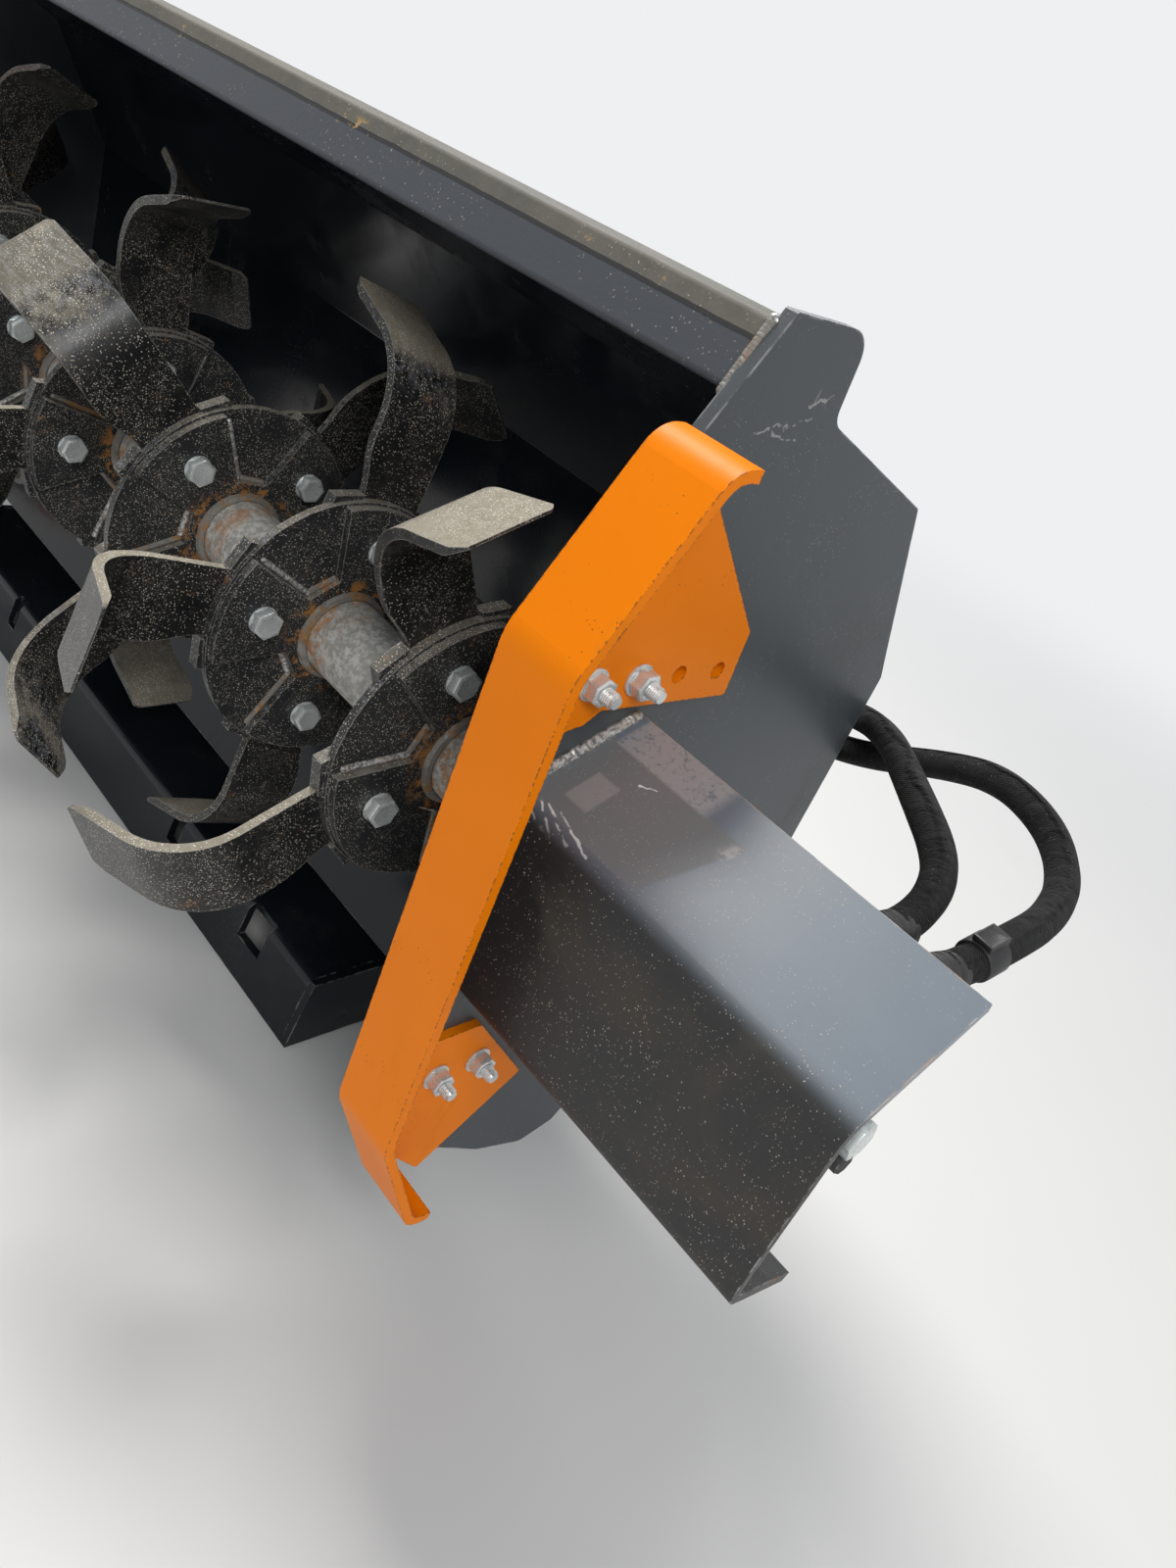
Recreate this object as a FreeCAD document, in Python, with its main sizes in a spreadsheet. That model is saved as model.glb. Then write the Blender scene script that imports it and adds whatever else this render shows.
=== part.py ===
import FreeCAD, Part
import math
import os
from types import SimpleNamespace

import Sketcher
from FreeCAD import Placement, Rotation, Vector

# Rotary tiller for a loader's coupling plate, lying on that plate as it is parked.
# +X runs along the rotor to the motor end, +Z is up as parked (forward in use) and
# -Y is the side that works the ground. The origin is the middle of the coupling plate's
# outer face, where the loader's own plate seats.

os.makedirs("parts", exist_ok=True)
doc = FreeCAD.newDocument("RotaryTiller")

# Driving sizes in millimetres and degrees: alias, value, what it is.
# Places across the machine are measured from the rotor's axis unless the note says otherwise.
SIZES = [
    ("tilling_width", 1676.0, "over the two side plates"),
    ("axis_height", 485.0, "rotor axis above the floor"),
    ("side_plate_t", 10.0, "side plate thickness"),
    ("shell_t", 6.0, "hood shell thickness"),
    ("shell_inset", 6.0, "shell inside the side plates' outline"),
    ("bend_r", 10.0, "outer radius of the sharp bends"),
    ("sole_y", 149.0, "side plate's ground edge, towards -Y"),
    ("crown_y", 338.0, "side plate's top edge, towards +Y"),
    ("ear_z", 413.0, "side plate's ear, towards +Z"),
    ("rail_face", 49.0, "front rail's slanted face"),
    ("rail_top", 44.0, "front rail's top face"),
    ("rail_wall", 5.0, "front rail's wall"),
    ("tube_dia", 76.0, "rotor tube outside"),
    ("tube_bore", 60.0, "rotor tube inside"),
    ("shaft_dia", 45.0, "rotor's stub shafts"),
    ("shaft_clearance", 0.05, "stub shaft in its bearing, on the radius"),
    ("plate_clearance", 6.0, "rotor to the side plates"),
    ("disc_dia", 254.0, "tine disc"),
    ("disc_t", 8.0, "tine disc thickness"),
    ("end_disc_gap", 142.0, "side plate's inner face to the middle of the nearest disc"),
    ("spider_t", 8.0, "notched plate of the disc"),
    ("spider_step", 3.0, "notched plate's rim inside the round plate's"),
    ("notch_bottom", 54.0, "notch bottom from the axis"),
    ("notch_narrow", 32.0, "notch width at its bottom"),
    ("notch_wide", 92.0, "notch width at the rim"),
    ("bolt_circle_r", 86.0, "tine bolt from the axis"),
    ("bolt_hole_dia", 17.0, "tine bolt hole"),
    ("helix_step", 37.5, "turn from one disc to the next"),
    ("first_tine", 115.0, "angle of the first disc's first tine from +Y"),
    ("tine_t", 8.0, "tine thickness"),
    ("tine_w", 64.0, "tine width at its foot"),
    ("tine_flare", 13.0, "how much the blade's rear edge swells past the shank"),
    ("tine_taper", 5.0, "how much the blade's front edge draws in"),
    ("tine_foot", 50.0, "tine's inner end from the axis"),
    ("tine_bend_start", 188.0, "where the tine starts to bend, from the axis"),
    ("tine_bend_r", 72.0, "tine's bend radius, on the middle of the bar"),
    ("tine_bend_angle", 73.0, "tine's bend"),
    ("tine_bevel", 22.0, "length of the sharpened end"),
    ("tine_edge_t", 2.0, "thickness left at the sharpened end"),
    ("swing_r", 280.0, "tine tips from the axis"),
    ("keeper_w", 28.0, "keeper block beside a tine"),
    ("keeper_depth", 34.0, "keeper block along the radius"),
    ("keeper_proud", 4.0, "keeper block past the disc's rim"),
    ("keeper_gap", 1.0, "keeper block to the tine"),
    ("shoe_w", 62.0, "skid shoe width"),
    ("shoe_t", 8.0, "skid shoe thickness"),
    ("shoe_face", 160.0, "skid shoe's ground face, towards -Y"),
    ("shoe_flat_front", 213.0, "front end of the shoe's flat"),
    ("shoe_flat_rear", 185.0, "rear end of the shoe's flat"),
    ("shoe_ramp", 143.0, "length of each shoe ramp"),
    ("shoe_ramp_angle", 26.0, "slope of the ramps"),
    ("shoe_lip", 22.0, "turned-in lip at each shoe end"),
    ("shoe_bend_r", 26.0, "shoe lip's bend, outside"),
    ("bracket_t", 8.0, "shoe bracket thickness"),
    ("shoe_hole_dia", 14.0, "shoe bolt hole"),
    ("shoe_hole_pitch", 44.0, "from hole to hole"),
    ("guard_len", 301.0, "motor guard past the side plate"),
    ("guard_t", 8.0, "motor guard thickness"),
    ("guard_face", 109.0, "guard's ground face, towards -Y"),
    ("guard_web", 155.0, "guard's ground face height"),
    ("guard_slope_len", 124.0, "guard's sloping front face"),
    ("guard_slope", 26.0, "slope of that face"),
    ("guard_flange", 104.0, "guard's sloping rear face"),
    ("guard_bend_r", 22.0, "guard's bend, outside"),
    ("motor_dia", 128.0, "hydraulic motor body"),
    ("motor_len", 244.0, "hydraulic motor past its flange"),
    ("motor_flange_side", 150.0, "motor mounting flange"),
    ("motor_flange_t", 18.0, "motor mounting flange thickness"),
    ("bearing_side", 140.0, "idle bearing flange"),
    ("bearing_t", 16.0, "idle bearing flange thickness"),
    ("bearing_hub_dia", 92.0, "idle bearing hub"),
    ("bearing_hub_len", 30.0, "idle bearing hub past its flange"),
    ("coupler_width", 1146.0, "coupling plate, a loader's usual size"),
    ("coupler_height", 450.0, "coupling plate from lip to hook"),
    ("coupler_t", 9.5, "coupling plate thickness"),
    ("coupler_level", 89.0, "coupling plate's inner face above the floor"),
    ("coupler_start", 34.0, "lip bend, towards +Y"),
    ("lip_lean", 16.0, "how far the lip leans towards -Y"),
    ("hook_reach", 46.0, "hook flange depth"),
    ("cheek_t", 10.0, "coupling plate's end cheeks"),
    ("pin_slot_x", 455.0, "locking pin slots from the middle"),
    ("pin_slot_w", 45.0, "locking pin slot width"),
    ("pin_slot_h", 44.0, "locking pin slot height"),
    ("notch_x", 261.0, "inner notches from the middle"),
    ("notch_w", 24.0, "inner notch width"),
    ("rib_t", 10.0, "ribs between hood and coupling plate"),
    ("rib_outer_x", 500.0, "outer ribs from the middle"),
    ("rib_inner_x", 170.0, "inner ribs from the middle"),
    ("rib_toe", 392.0, "ribs' toe on the coupling plate, towards +Y"),
    ("hose_dia", 26.0, "hose in its sleeve"),
    ("port_pitch", 38.0, "from port to port along the motor"),
    ("elbow_dia", 18.0, "port elbow"),
    ("elbow_rise", 34.0, "port elbow above the motor"),
    ("elbow_reach", 30.0, "port elbow's mouth from its turn"),
    ("nut_dia", 30.0, "hose nut"),
    ("nut_len", 15.0, "hose nut length"),
    ("quick_dia", 32.0, "quick coupler"),
    ("quick_len", 90.0, "quick coupler length"),
    ("guide_bar_dia", 12.0, "hose guide bar"),
    ("guide_inset", 58.0, "hose guide in from the side plate's outer face"),
    ("guide_rise", 62.0, "hose guide above the hood's top face"),
]
DISC_COUNT = 8
TINES_PER_DISC = 4

sheet = doc.addObject("Spreadsheet::Sheet", "dims")
for row, (alias, value, note) in enumerate(SIZES, start=1):
    sheet.set(f"A{row}", note)
    sheet.set(f"B{row}", str(value))
    sheet.setAlias(f"B{row}", alias)
doc.recompute()
d = SimpleNamespace(**{alias: float(sheet.get(alias)) for alias, value, note in SIZES})

# Places worked out from the sheet. The rotor's axis seen from the frame's origin:
AXIS_Y = "-(dims.coupler_start + dims.coupler_height / 2)"
AXIS_Z = "dims.axis_height - dims.coupler_level + dims.coupler_t"
axis_y = -(d.coupler_start + d.coupler_height / 2.0)
axis_z = d.axis_height - d.coupler_level + d.coupler_t
plate_x = d.tilling_width / 2.0
inner_x = plate_x - d.side_plate_t
disc_pitch = 2.0 * (inner_x - d.end_disc_gap) / (DISC_COUNT - 1)
coupler_z = d.coupler_level - d.axis_height
subparts = []


def keep(body, label):
    """Name a finished sub-part, which names its file."""
    body.Label = label
    subparts.append(body)
    return body


def tangent_outline(corners, closed=True):
    """Lines joined by tangent arcs. A corner is (u, v, radius)."""
    count = len(corners)
    points = [Vector(c[0], c[1], 0) for c in corners]
    radii = [c[2] if len(c) > 2 else 0.0 for c in corners]
    starts, ends, arcs = [], [], []
    for i, point in enumerate(points):
        lone_end = not closed and i in (0, count - 1)
        if radii[i] <= 0.0 or lone_end:
            starts.append(point)
            ends.append(point)
            arcs.append(None)
            continue
        before = (points[i - 1] - point).normalize()
        after = (points[(i + 1) % count] - point).normalize()
        half = before.getAngle(after) / 2.0
        reach = radii[i] / math.tan(half)
        middle = point + (before + after).normalize() * (radii[i] / math.sin(half) - radii[i])
        starts.append(point + before * reach)
        ends.append(point + after * reach)
        arcs.append(Part.Arc(point + before * reach, middle, point + after * reach))
    edges = []
    for i in range(count):
        if arcs[i]:
            edges.append(arcs[i])
        if closed or i < count - 1:
            edges.append(Part.LineSegment(ends[i], starts[(i + 1) % count]))
    return edges


def side_path(corners, distance):
    """The same open path moved to its left by a distance, with its bend radii to suit."""
    points = [Vector(c[0], c[1], 0) for c in corners]
    radii = [c[2] if len(c) > 2 else 0.0 for c in corners]
    moved = []
    for i, point in enumerate(points):
        legs = []
        if i > 0:
            legs.append((point - points[i - 1]).normalize())
        if i < len(points) - 1:
            legs.append((points[i + 1] - point).normalize())
        normals = [Vector(-leg.y, leg.x, 0) for leg in legs]
        middle = Vector(0, 0, 0)
        for normal in normals:
            middle = middle + normal
        middle.normalize()
        place = point + middle * (distance / middle.dot(normals[0]))
        radius = radii[i]
        if len(legs) == 2 and radius > 0.0:
            turns_left = legs[0].cross(legs[1]).z > 0
            radius = radius - distance if turns_left else radius + distance
        moved.append((place.x, place.y, max(radius, 0.0)))
    return moved


def folded_outline(corners, thickness):
    """Closed outline of a folded plate from the path of its right-hand face."""
    other = side_path(corners, thickness)
    return tangent_outline(list(corners) + other[::-1])


def plane_of(body, role):
    """One of the body's own origin planes."""
    for feature in body.Origin.OriginFeatures:
        if feature.Role == role:
            return feature
    raise RuntimeError(f"no plane {role}")


def add_sketch(body, name, edges, circles=(), role="YZ_Plane", offset=0.0):
    """A sketch of edges, with circles as (u, v, sheet expression of the diameter)."""
    sketch = body.newObject("Sketcher::SketchObject", name)
    sketch.AttachmentSupport = [(plane_of(body, role), "")]
    sketch.MapMode = "FlatFace"
    if offset:
        sketch.AttachmentOffset = Placement(Vector(0, 0, offset), Rotation())
    if edges:
        sketch.addGeometry(edges, False)
    for u, v, diameter in circles:
        ring = Part.Circle(Vector(u, v, 0), Vector(0, 0, 1), 5.0)
        index = sketch.addGeometry(ring, False)
        which = sketch.addConstraint(Sketcher.Constraint("Diameter", index, 10.0))
        sketch.setExpression(f"Constraints[{which}]", diameter)
    return sketch


def add_pad(body, sketch, name, length, reverse=False, middle=False):
    """A pad whose length is a sheet expression."""
    pad = body.newObject("PartDesign::Pad", name)
    pad.Profile = sketch
    pad.Reversed = reverse
    pad.Midplane = middle
    pad.setExpression("Length", length)
    sketch.Visibility = False
    return pad


def add_pocket(body, sketch, name, length, middle=False, reverse=False):
    """A pocket whose depth is a sheet expression; it has to take something away."""
    doc.recompute()
    before = body.Shape.Volume
    pocket = body.newObject("PartDesign::Pocket", name)
    pocket.Profile = sketch
    pocket.Midplane = middle
    pocket.Reversed = reverse
    pocket.setExpression("Length", length)
    doc.recompute()
    if body.Shape.Volume > before - 1.0:
        raise RuntimeError(f"{name} cuts nothing")
    return pocket


def plate_across(label, edges, thickness, x_place, circles=()):
    """A plate square to the rotor axis; its outline is measured from that axis."""
    body = doc.addObject("PartDesign::Body", label)
    sketch = add_sketch(body, label + "_outline", edges, circles)
    add_pad(body, sketch, label + "_pad", thickness)
    body.setExpression("Placement.Base.x", x_place)
    body.setExpression("Placement.Base.y", AXIS_Y)
    body.setExpression("Placement.Base.z", AXIS_Z)
    return keep(body, label)


def section_along(label, edges, length):
    """A section swept along the rotor axis, centred on the machine's middle."""
    body = doc.addObject("PartDesign::Body", label)
    sketch = add_sketch(body, label + "_section", edges)
    add_pad(body, sketch, label + "_pad", length, middle=True)
    body.setExpression("Placement.Base.y", AXIS_Y)
    body.setExpression("Placement.Base.z", AXIS_Z)
    return keep(body, label)


def solid_part(label, shape, placement=Placement()):
    """A sub-part whose shape comes from Part's own functions."""
    feature = doc.addObject("Part::Feature", label)
    feature.Shape = shape
    feature.Placement = placement
    return keep(feature, label)



SIDES = [("drive", 1.0), ("idle", -1.0)]

# Side plates: an ear that holds the front rail, straight edges for the hood's panels,
# and a ground edge behind the skid shoe.
slope = math.radians(30.6)
crown_front = 138.0
crown_rear = -68.0
hip_y = 241.0
hip_z = crown_front + (d.crown_y - hip_y) / math.tan(slope)
tail_z = coupler_z + 15.0
tail_y = d.crown_y - (crown_rear - tail_z) * math.tan(slope)
rail_low = (-40.0, d.ear_z - 54.0)
rail_dir = (0.41, 0.912)
rail_high = (rail_low[0] + rail_dir[0] * d.rail_face, rail_low[1] + rail_dir[1] * d.rail_face)
ear_point = (rail_high[0] + 4.0, d.ear_z)
slant = (ear_point[0] + d.sole_y) / rail_dir[0] * rail_dir[1]
side_plate_corners = [
    (ear_point[0], ear_point[1], 3.0),
    (66.0, d.ear_z, 20.0),
    (71.0, d.ear_z - 58.0, 14.0),
    (hip_y, hip_z, 6.0),
    (d.crown_y, crown_front, 6.0),
    (d.crown_y, crown_rear, 6.0),
    (tail_y, tail_z, 6.0),
    (tail_y - 40.0, tail_z - 12.0, 20.0),
    (47.0, tail_z + 13.0, 6.0),
    (-100.0, -d.shoe_flat_rear - 92.0, 6.0),
    (-d.sole_y, -d.shoe_flat_rear - 10.0, 6.0),
    (-d.sole_y, 164.0, 6.0),
]
hole_row_front = 172.0
hole_row_rear = -200.0
holes_front = [-74.0 + n * d.shoe_hole_pitch for n in range(4)]
holes_rear = [-69.0 + n * d.shoe_hole_pitch for n in range(2)]
bolt_holes = [(y, hole_row_front, "dims.shoe_hole_dia") for y in holes_front[:2]]
bolt_holes += [(y, hole_row_rear, "dims.shoe_hole_dia") for y in holes_rear]
shaft_hole = [(0.0, 0.0, "dims.shaft_dia + 2 * dims.plate_clearance")]
for side, sign in SIDES:
    place = "dims.tilling_width / 2 - dims.side_plate_t" if sign > 0 else "-dims.tilling_width / 2"
    plate_across(
        f"side_plate_{side}",
        tangent_outline(side_plate_corners),
        "dims.side_plate_t",
        place,
        bolt_holes + shaft_hole,
    )

# Front rail: a folded box along the hood's front edge, flush with the ears' slanted edge.
inner_length = "dims.tilling_width - 2 * dims.side_plate_t"
rail_back = (rail_high[0] + d.rail_top, rail_low[1])
rail_outer = [
    (rail_low[0], rail_low[1], 4.0),
    (rail_back[0], rail_back[1], 4.0),
    (rail_back[0], rail_high[1], 4.0),
    (rail_high[0], rail_high[1], 4.0),
]
section_along(
    "front_rail",
    tangent_outline(rail_outer) + tangent_outline(
        [(y + 1.4 * d.rail_wall * sy, z + d.rail_wall * sz, 1.0)
         for (y, z, r), (sy, sz) in zip(rail_outer, [(1, 1), (-0.8, 1), (-0.8, -1), (0.7, -1)])]
    ),
    inner_length,
)

# Hood shell: one folded sheet from the front rail over the rotor to the coupling plate.
crown = d.crown_y - d.shell_inset
foot_y = crown - (crown_rear - coupler_z) * math.tan(slope)
shell_face = [
    (foot_y, coupler_z),
    (crown, crown_rear, d.bend_r),
    (crown, crown_front - 2.0, d.bend_r),
    (hip_y - d.shell_inset, hip_z - d.shell_inset, d.bend_r),
    (rail_back[0] + d.shell_t / 2.0 - 0.4, rail_back[1] + 14.0),
]
section_along("hood_shell", folded_outline(shell_face, d.shell_t), inner_length)

# Coupling plate: flat face, ground-side lip with locking slots, and the hook flange.
plate_end = d.coupler_start + d.coupler_height
floor_z = -d.axis_height
coupler_face = [
    (plate_end - d.hook_reach, coupler_z - d.hook_reach - d.coupler_t),
    (plate_end, coupler_z, d.coupler_t + 3.0),
    (d.coupler_start, coupler_z, d.coupler_t + 4.0),
    (d.coupler_start - d.lip_lean, floor_z),
]
coupler = doc.addObject("PartDesign::Body", "coupler_plate")
coupler_sketch = add_sketch(coupler, "coupler_section", folded_outline(coupler_face, d.coupler_t))
add_pad(coupler, coupler_sketch, "coupler_pad", "dims.coupler_width - 2 * dims.cheek_t", middle=True)


def box_edges(low_u, high_u, low_v, high_v):
    """A rectangle's four sides."""
    return tangent_outline([(low_u, low_v), (high_u, low_v), (high_u, high_v), (low_u, high_v)])


slot_edges = []
for sign in (1.0, -1.0):
    slot_edges += box_edges(
        sign * d.pin_slot_x - d.pin_slot_w / 2.0,
        sign * d.pin_slot_x + d.pin_slot_w / 2.0,
        coupler_z - d.pin_slot_h,
        coupler_z + 1.0,
    )
    slot_edges += box_edges(
        sign * d.notch_x - d.notch_w / 2.0,
        sign * d.notch_x + d.notch_w / 2.0,
        coupler_z - d.pin_slot_h,
        coupler_z + 1.0,
    )
slot_sketch = add_sketch(coupler, "coupler_slots", slot_edges, role="XZ_Plane")
add_pocket(coupler, slot_sketch, "coupler_slot_cut", "2 * (dims.coupler_start + dims.coupler_t)", middle=True)
coupler.setExpression("Placement.Base.y", AXIS_Y)
coupler.setExpression("Placement.Base.z", AXIS_Z)
keep(coupler, "coupler_plate")

cheek_corners = [
    (d.coupler_start - d.lip_lean, floor_z),
    (plate_end, floor_z),
    (plate_end, coupler_z),
    (d.coupler_start, coupler_z),
]
for side, sign in SIDES:
    place = "dims.coupler_width / 2 - dims.cheek_t" if sign > 0 else "-dims.coupler_width / 2"
    plate_across(f"coupler_cheek_{side}", tangent_outline(cheek_corners), "dims.cheek_t", place)

# Ribs that carry the hood on the coupling plate.
rib_corners = [
    (foot_y, coupler_z),
    (d.rib_toe, coupler_z),
    (d.rib_toe, coupler_z + 30.0),
    (crown + 14.0, crown_rear + 90.0),
    (crown, crown_rear + 90.0),
    (crown, crown_rear, d.bend_r),
]
ribs = [("1", "dims.rib_outer_x"), ("2", "dims.rib_inner_x"),
        ("3", "-dims.rib_inner_x"), ("4", "-dims.rib_outer_x")]
for number, place in ribs:
    plate_across(f"hood_rib_{number}", tangent_outline(rib_corners), "dims.rib_t",
                 f"{place} - dims.rib_t / 2")

# Skid shoes: a flat bar with a ramp and a turned-in lip at each end.
ramp = math.radians(d.shoe_ramp_angle)
ramp_y = d.shoe_ramp * math.sin(ramp)
ramp_z = d.shoe_ramp * math.cos(ramp)
shoe_face = [
    (-d.shoe_face + ramp_y + d.shoe_lip, d.shoe_flat_front + ramp_z),
    (-d.shoe_face + ramp_y, d.shoe_flat_front + ramp_z, d.shoe_bend_r),
    (-d.shoe_face, d.shoe_flat_front, 40.0),
    (-d.shoe_face, -d.shoe_flat_rear, 40.0),
    (-d.shoe_face + ramp_y, -d.shoe_flat_rear - ramp_z, d.shoe_bend_r),
    (-d.shoe_face + ramp_y + d.shoe_lip, -d.shoe_flat_rear - ramp_z),
]
shoe_inner = -d.shoe_face + d.shoe_t


def ramp_inside(run):
    """The ramp's inner face at a distance along Z from the end of the flat."""
    return -d.shoe_face + d.shoe_t / math.cos(ramp) + run * math.tan(ramp)


lip_inside = ramp_z - d.shoe_t
bend_run = 14.0
bracket_front = [
    (shoe_inner, hole_row_front - 52.0),
    (holes_front[0] + 8.0, hole_row_front - 33.0),
    (holes_front[0] + 20.0, hole_row_front - 23.0),
    (holes_front[3] + 23.0, hole_row_front - 23.0, 3.0),
    (holes_front[3] + 18.0, hole_row_front + 31.0, 3.0),
    (-58.0, d.shoe_flat_front + lip_inside - 4.0, 3.0),
    (ramp_inside(lip_inside - 16.0) + 9.0, d.shoe_flat_front + lip_inside - 4.0),
    (ramp_inside(lip_inside - 16.0), d.shoe_flat_front + lip_inside - 16.0),
    (ramp_inside(bend_run), d.shoe_flat_front + bend_run),
    (shoe_inner, d.shoe_flat_front - bend_run),
]
bracket_rear = [
    (shoe_inner, -d.shoe_flat_rear + bend_run),
    (ramp_inside(bend_run), -d.shoe_flat_rear - bend_run),
    (ramp_inside(76.0), -d.shoe_flat_rear - 76.0),
    (-44.0, -d.shoe_flat_rear - 146.0, 3.0),
    (44.0, hole_row_rear - 47.0, 3.0),
    (-37.0, hole_row_rear + 45.0, 3.0),
    (shoe_inner, hole_row_rear + 45.0),
]
for side, sign in SIDES:
    place = "dims.tilling_width / 2" if sign > 0 else "-dims.tilling_width / 2 - dims.shoe_w"
    body = plate_across(f"skid_shoe_{side}", folded_outline(shoe_face, d.shoe_t), "dims.shoe_w", place)
    place = "dims.tilling_width / 2" if sign > 0 else "-dims.tilling_width / 2 - dims.bracket_t"
    holes = [(y, hole_row_front, "dims.shoe_hole_dia") for y in holes_front]
    plate_across(f"shoe_bracket_front_{side}", tangent_outline(bracket_front), "dims.bracket_t",
                 place, holes)
    holes = [(y, hole_row_rear, "dims.shoe_hole_dia") for y in holes_rear]
    plate_across(f"shoe_bracket_rear_{side}", tangent_outline(bracket_rear), "dims.bracket_t",
                 place, holes)

# Motor guard: a folded channel that stands out from the drive side plate.
guard_mid = 4.0
guard_low = guard_mid - d.guard_web / 2.0
guard_high = guard_mid + d.guard_web / 2.0
guard_angle = math.radians(d.guard_slope)
guard_face = [
    (-d.guard_face + d.guard_slope_len * math.cos(guard_angle),
     guard_high + d.guard_slope_len * math.sin(guard_angle)),
    (-d.guard_face, guard_high, d.guard_bend_r),
    (-d.guard_face, guard_low, d.guard_bend_r),
    (-d.guard_face + d.guard_flange * math.cos(guard_angle),
     guard_low - d.guard_flange * math.sin(guard_angle)),
]
plate_across("motor_guard", folded_outline(guard_face, d.guard_t), "dims.guard_len",
             "dims.tilling_width / 2")

# Hydraulic motor on the rotor's axis, bolted to the drive side plate.
axis = Vector(1, 0, 0)
centre = Vector(0, axis_y, axis_z)


def round_bar(diameter, start, length):
    """A round bar along the rotor's axis."""
    return Part.makeCylinder(diameter / 2.0, length, centre + Vector(start, 0, 0), axis)


def flange_plate(label, side, thickness, start, bore):
    """A square bearing or motor flange as a body with a round bore."""
    half = side / 2.0
    corners = [(-half, -half, 18.0), (half, -half, 18.0), (half, half, 18.0), (-half, half, 18.0)]
    return plate_across(label, tangent_outline(corners), thickness, start, [(0.0, 0.0, bore)])


bearing_bore = "dims.shaft_dia + 2 * dims.shaft_clearance"
flange_plate("motor_flange", d.motor_flange_side, "dims.motor_flange_t", "dims.tilling_width / 2",
             bearing_bore)
motor_start = plate_x + d.motor_flange_t
motor_end = motor_start + d.motor_len
motor = round_bar(d.motor_dia - 16.0, motor_start, 60.0)
motor = motor.fuse(round_bar(d.motor_dia, motor_start + 60.0, 110.0))
motor = motor.fuse(round_bar(d.motor_dia - 8.0, motor_start + 170.0, d.motor_len - 170.0))
drain_plug = round_bar(19.0, motor_end - 2.0, 28.0)
PORTS = [
    # along the rotor, and how far its elbow is turned from +Y to +X
    (motor_end - 18.0 - d.port_pitch, 10.0),
    (motor_end - 18.0, 14.0),
]
pad_top = d.motor_dia / 2.0 + 3.0
port_pad = Part.makeBox(2.0 * d.port_pitch, 52.0, pad_top, Vector(motor_end - 2.0 * d.port_pitch, -26.0, 0))
port_pad.translate(centre)
solid_part("hydraulic_motor", motor.fuse([port_pad, drain_plug]).removeSplitter())


def tangent_wire(points, radii):
    """A wire of straight runs joined by tangent arcs through 3-D corners."""
    edges = []
    here = points[0]
    for i in range(1, len(points) - 1):
        before = (points[i - 1] - points[i]).normalize()
        after = (points[i + 1] - points[i]).normalize()
        half_angle = before.getAngle(after) / 2.0
        reach = radii[i] / math.tan(half_angle)
        middle = points[i] + (before + after).normalize() * (radii[i] / math.sin(half_angle) - radii[i])
        start = points[i] + before * reach
        end = points[i] + after * reach
        edges.append(Part.LineSegment(here, start).toShape())
        edges.append(Part.Arc(start, middle, end).toShape())
        here = end
    edges.append(Part.LineSegment(here, points[-1]).toShape())
    return Part.Wire(edges)


def tube_on(wire, diameter):
    """A round bar or hose along a wire."""
    start = wire.Edges[0]
    direction = start.tangentAt(start.FirstParameter)
    circle = Part.Circle(start.valueAt(start.FirstParameter), direction, diameter / 2.0)
    section = Part.Wire(circle.toShape())
    return wire.makePipeShell([section], True, False)


# Port elbows on the motor's front, turned towards +Y, each ending in the hose's nut.
elbow_z = pad_top + d.elbow_rise
elbow_outs = []
for number, (x, yaw) in enumerate(PORTS, start=1):
    out = Vector(math.sin(math.radians(yaw)), math.cos(math.radians(yaw)), 0)
    elbow_outs.append(out)
    turn = centre + Vector(x, 0, elbow_z)
    mouth = turn + out * d.elbow_reach
    elbow_wire = tangent_wire([centre + Vector(x, 0, pad_top), turn, mouth], [0.0, d.elbow_dia * 0.6, 0.0])
    elbow = tube_on(elbow_wire, d.elbow_dia)
    nut = Part.makeCylinder(d.nut_dia / 2.0, d.nut_len, mouth - out * d.nut_len, out)
    solid_part(f"port_elbow_{number}", elbow.fuse(nut).removeSplitter())

# Idle bearing on the far side plate.
idle = doc.addObject("PartDesign::Body", "idle_bearing")
half = d.bearing_side / 2.0
flange_corners = [(-half, -half, 18.0), (half, -half, 18.0), (half, half, 18.0), (-half, half, 18.0)]
add_pad(idle, add_sketch(idle, "idle_flange", tangent_outline(flange_corners)), "idle_flange_pad",
        "dims.bearing_t", reverse=True)
add_pad(idle, add_sketch(idle, "idle_hub", [], [(0.0, 0.0, "dims.bearing_hub_dia")]), "idle_hub_pad",
        "dims.bearing_t + dims.bearing_hub_len", reverse=True)
bore_sketch = add_sketch(idle, "idle_bore", [], [(0.0, 0.0, bearing_bore)])
add_pocket(idle, bore_sketch, "idle_bore_cut", "dims.bearing_t + dims.bearing_hub_len - 6")
idle.setExpression("Placement.Base.x", "-dims.tilling_width / 2")
idle.setExpression("Placement.Base.y", AXIS_Y)
idle.setExpression("Placement.Base.z", AXIS_Z)
keep(idle, "idle_bearing")

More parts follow.
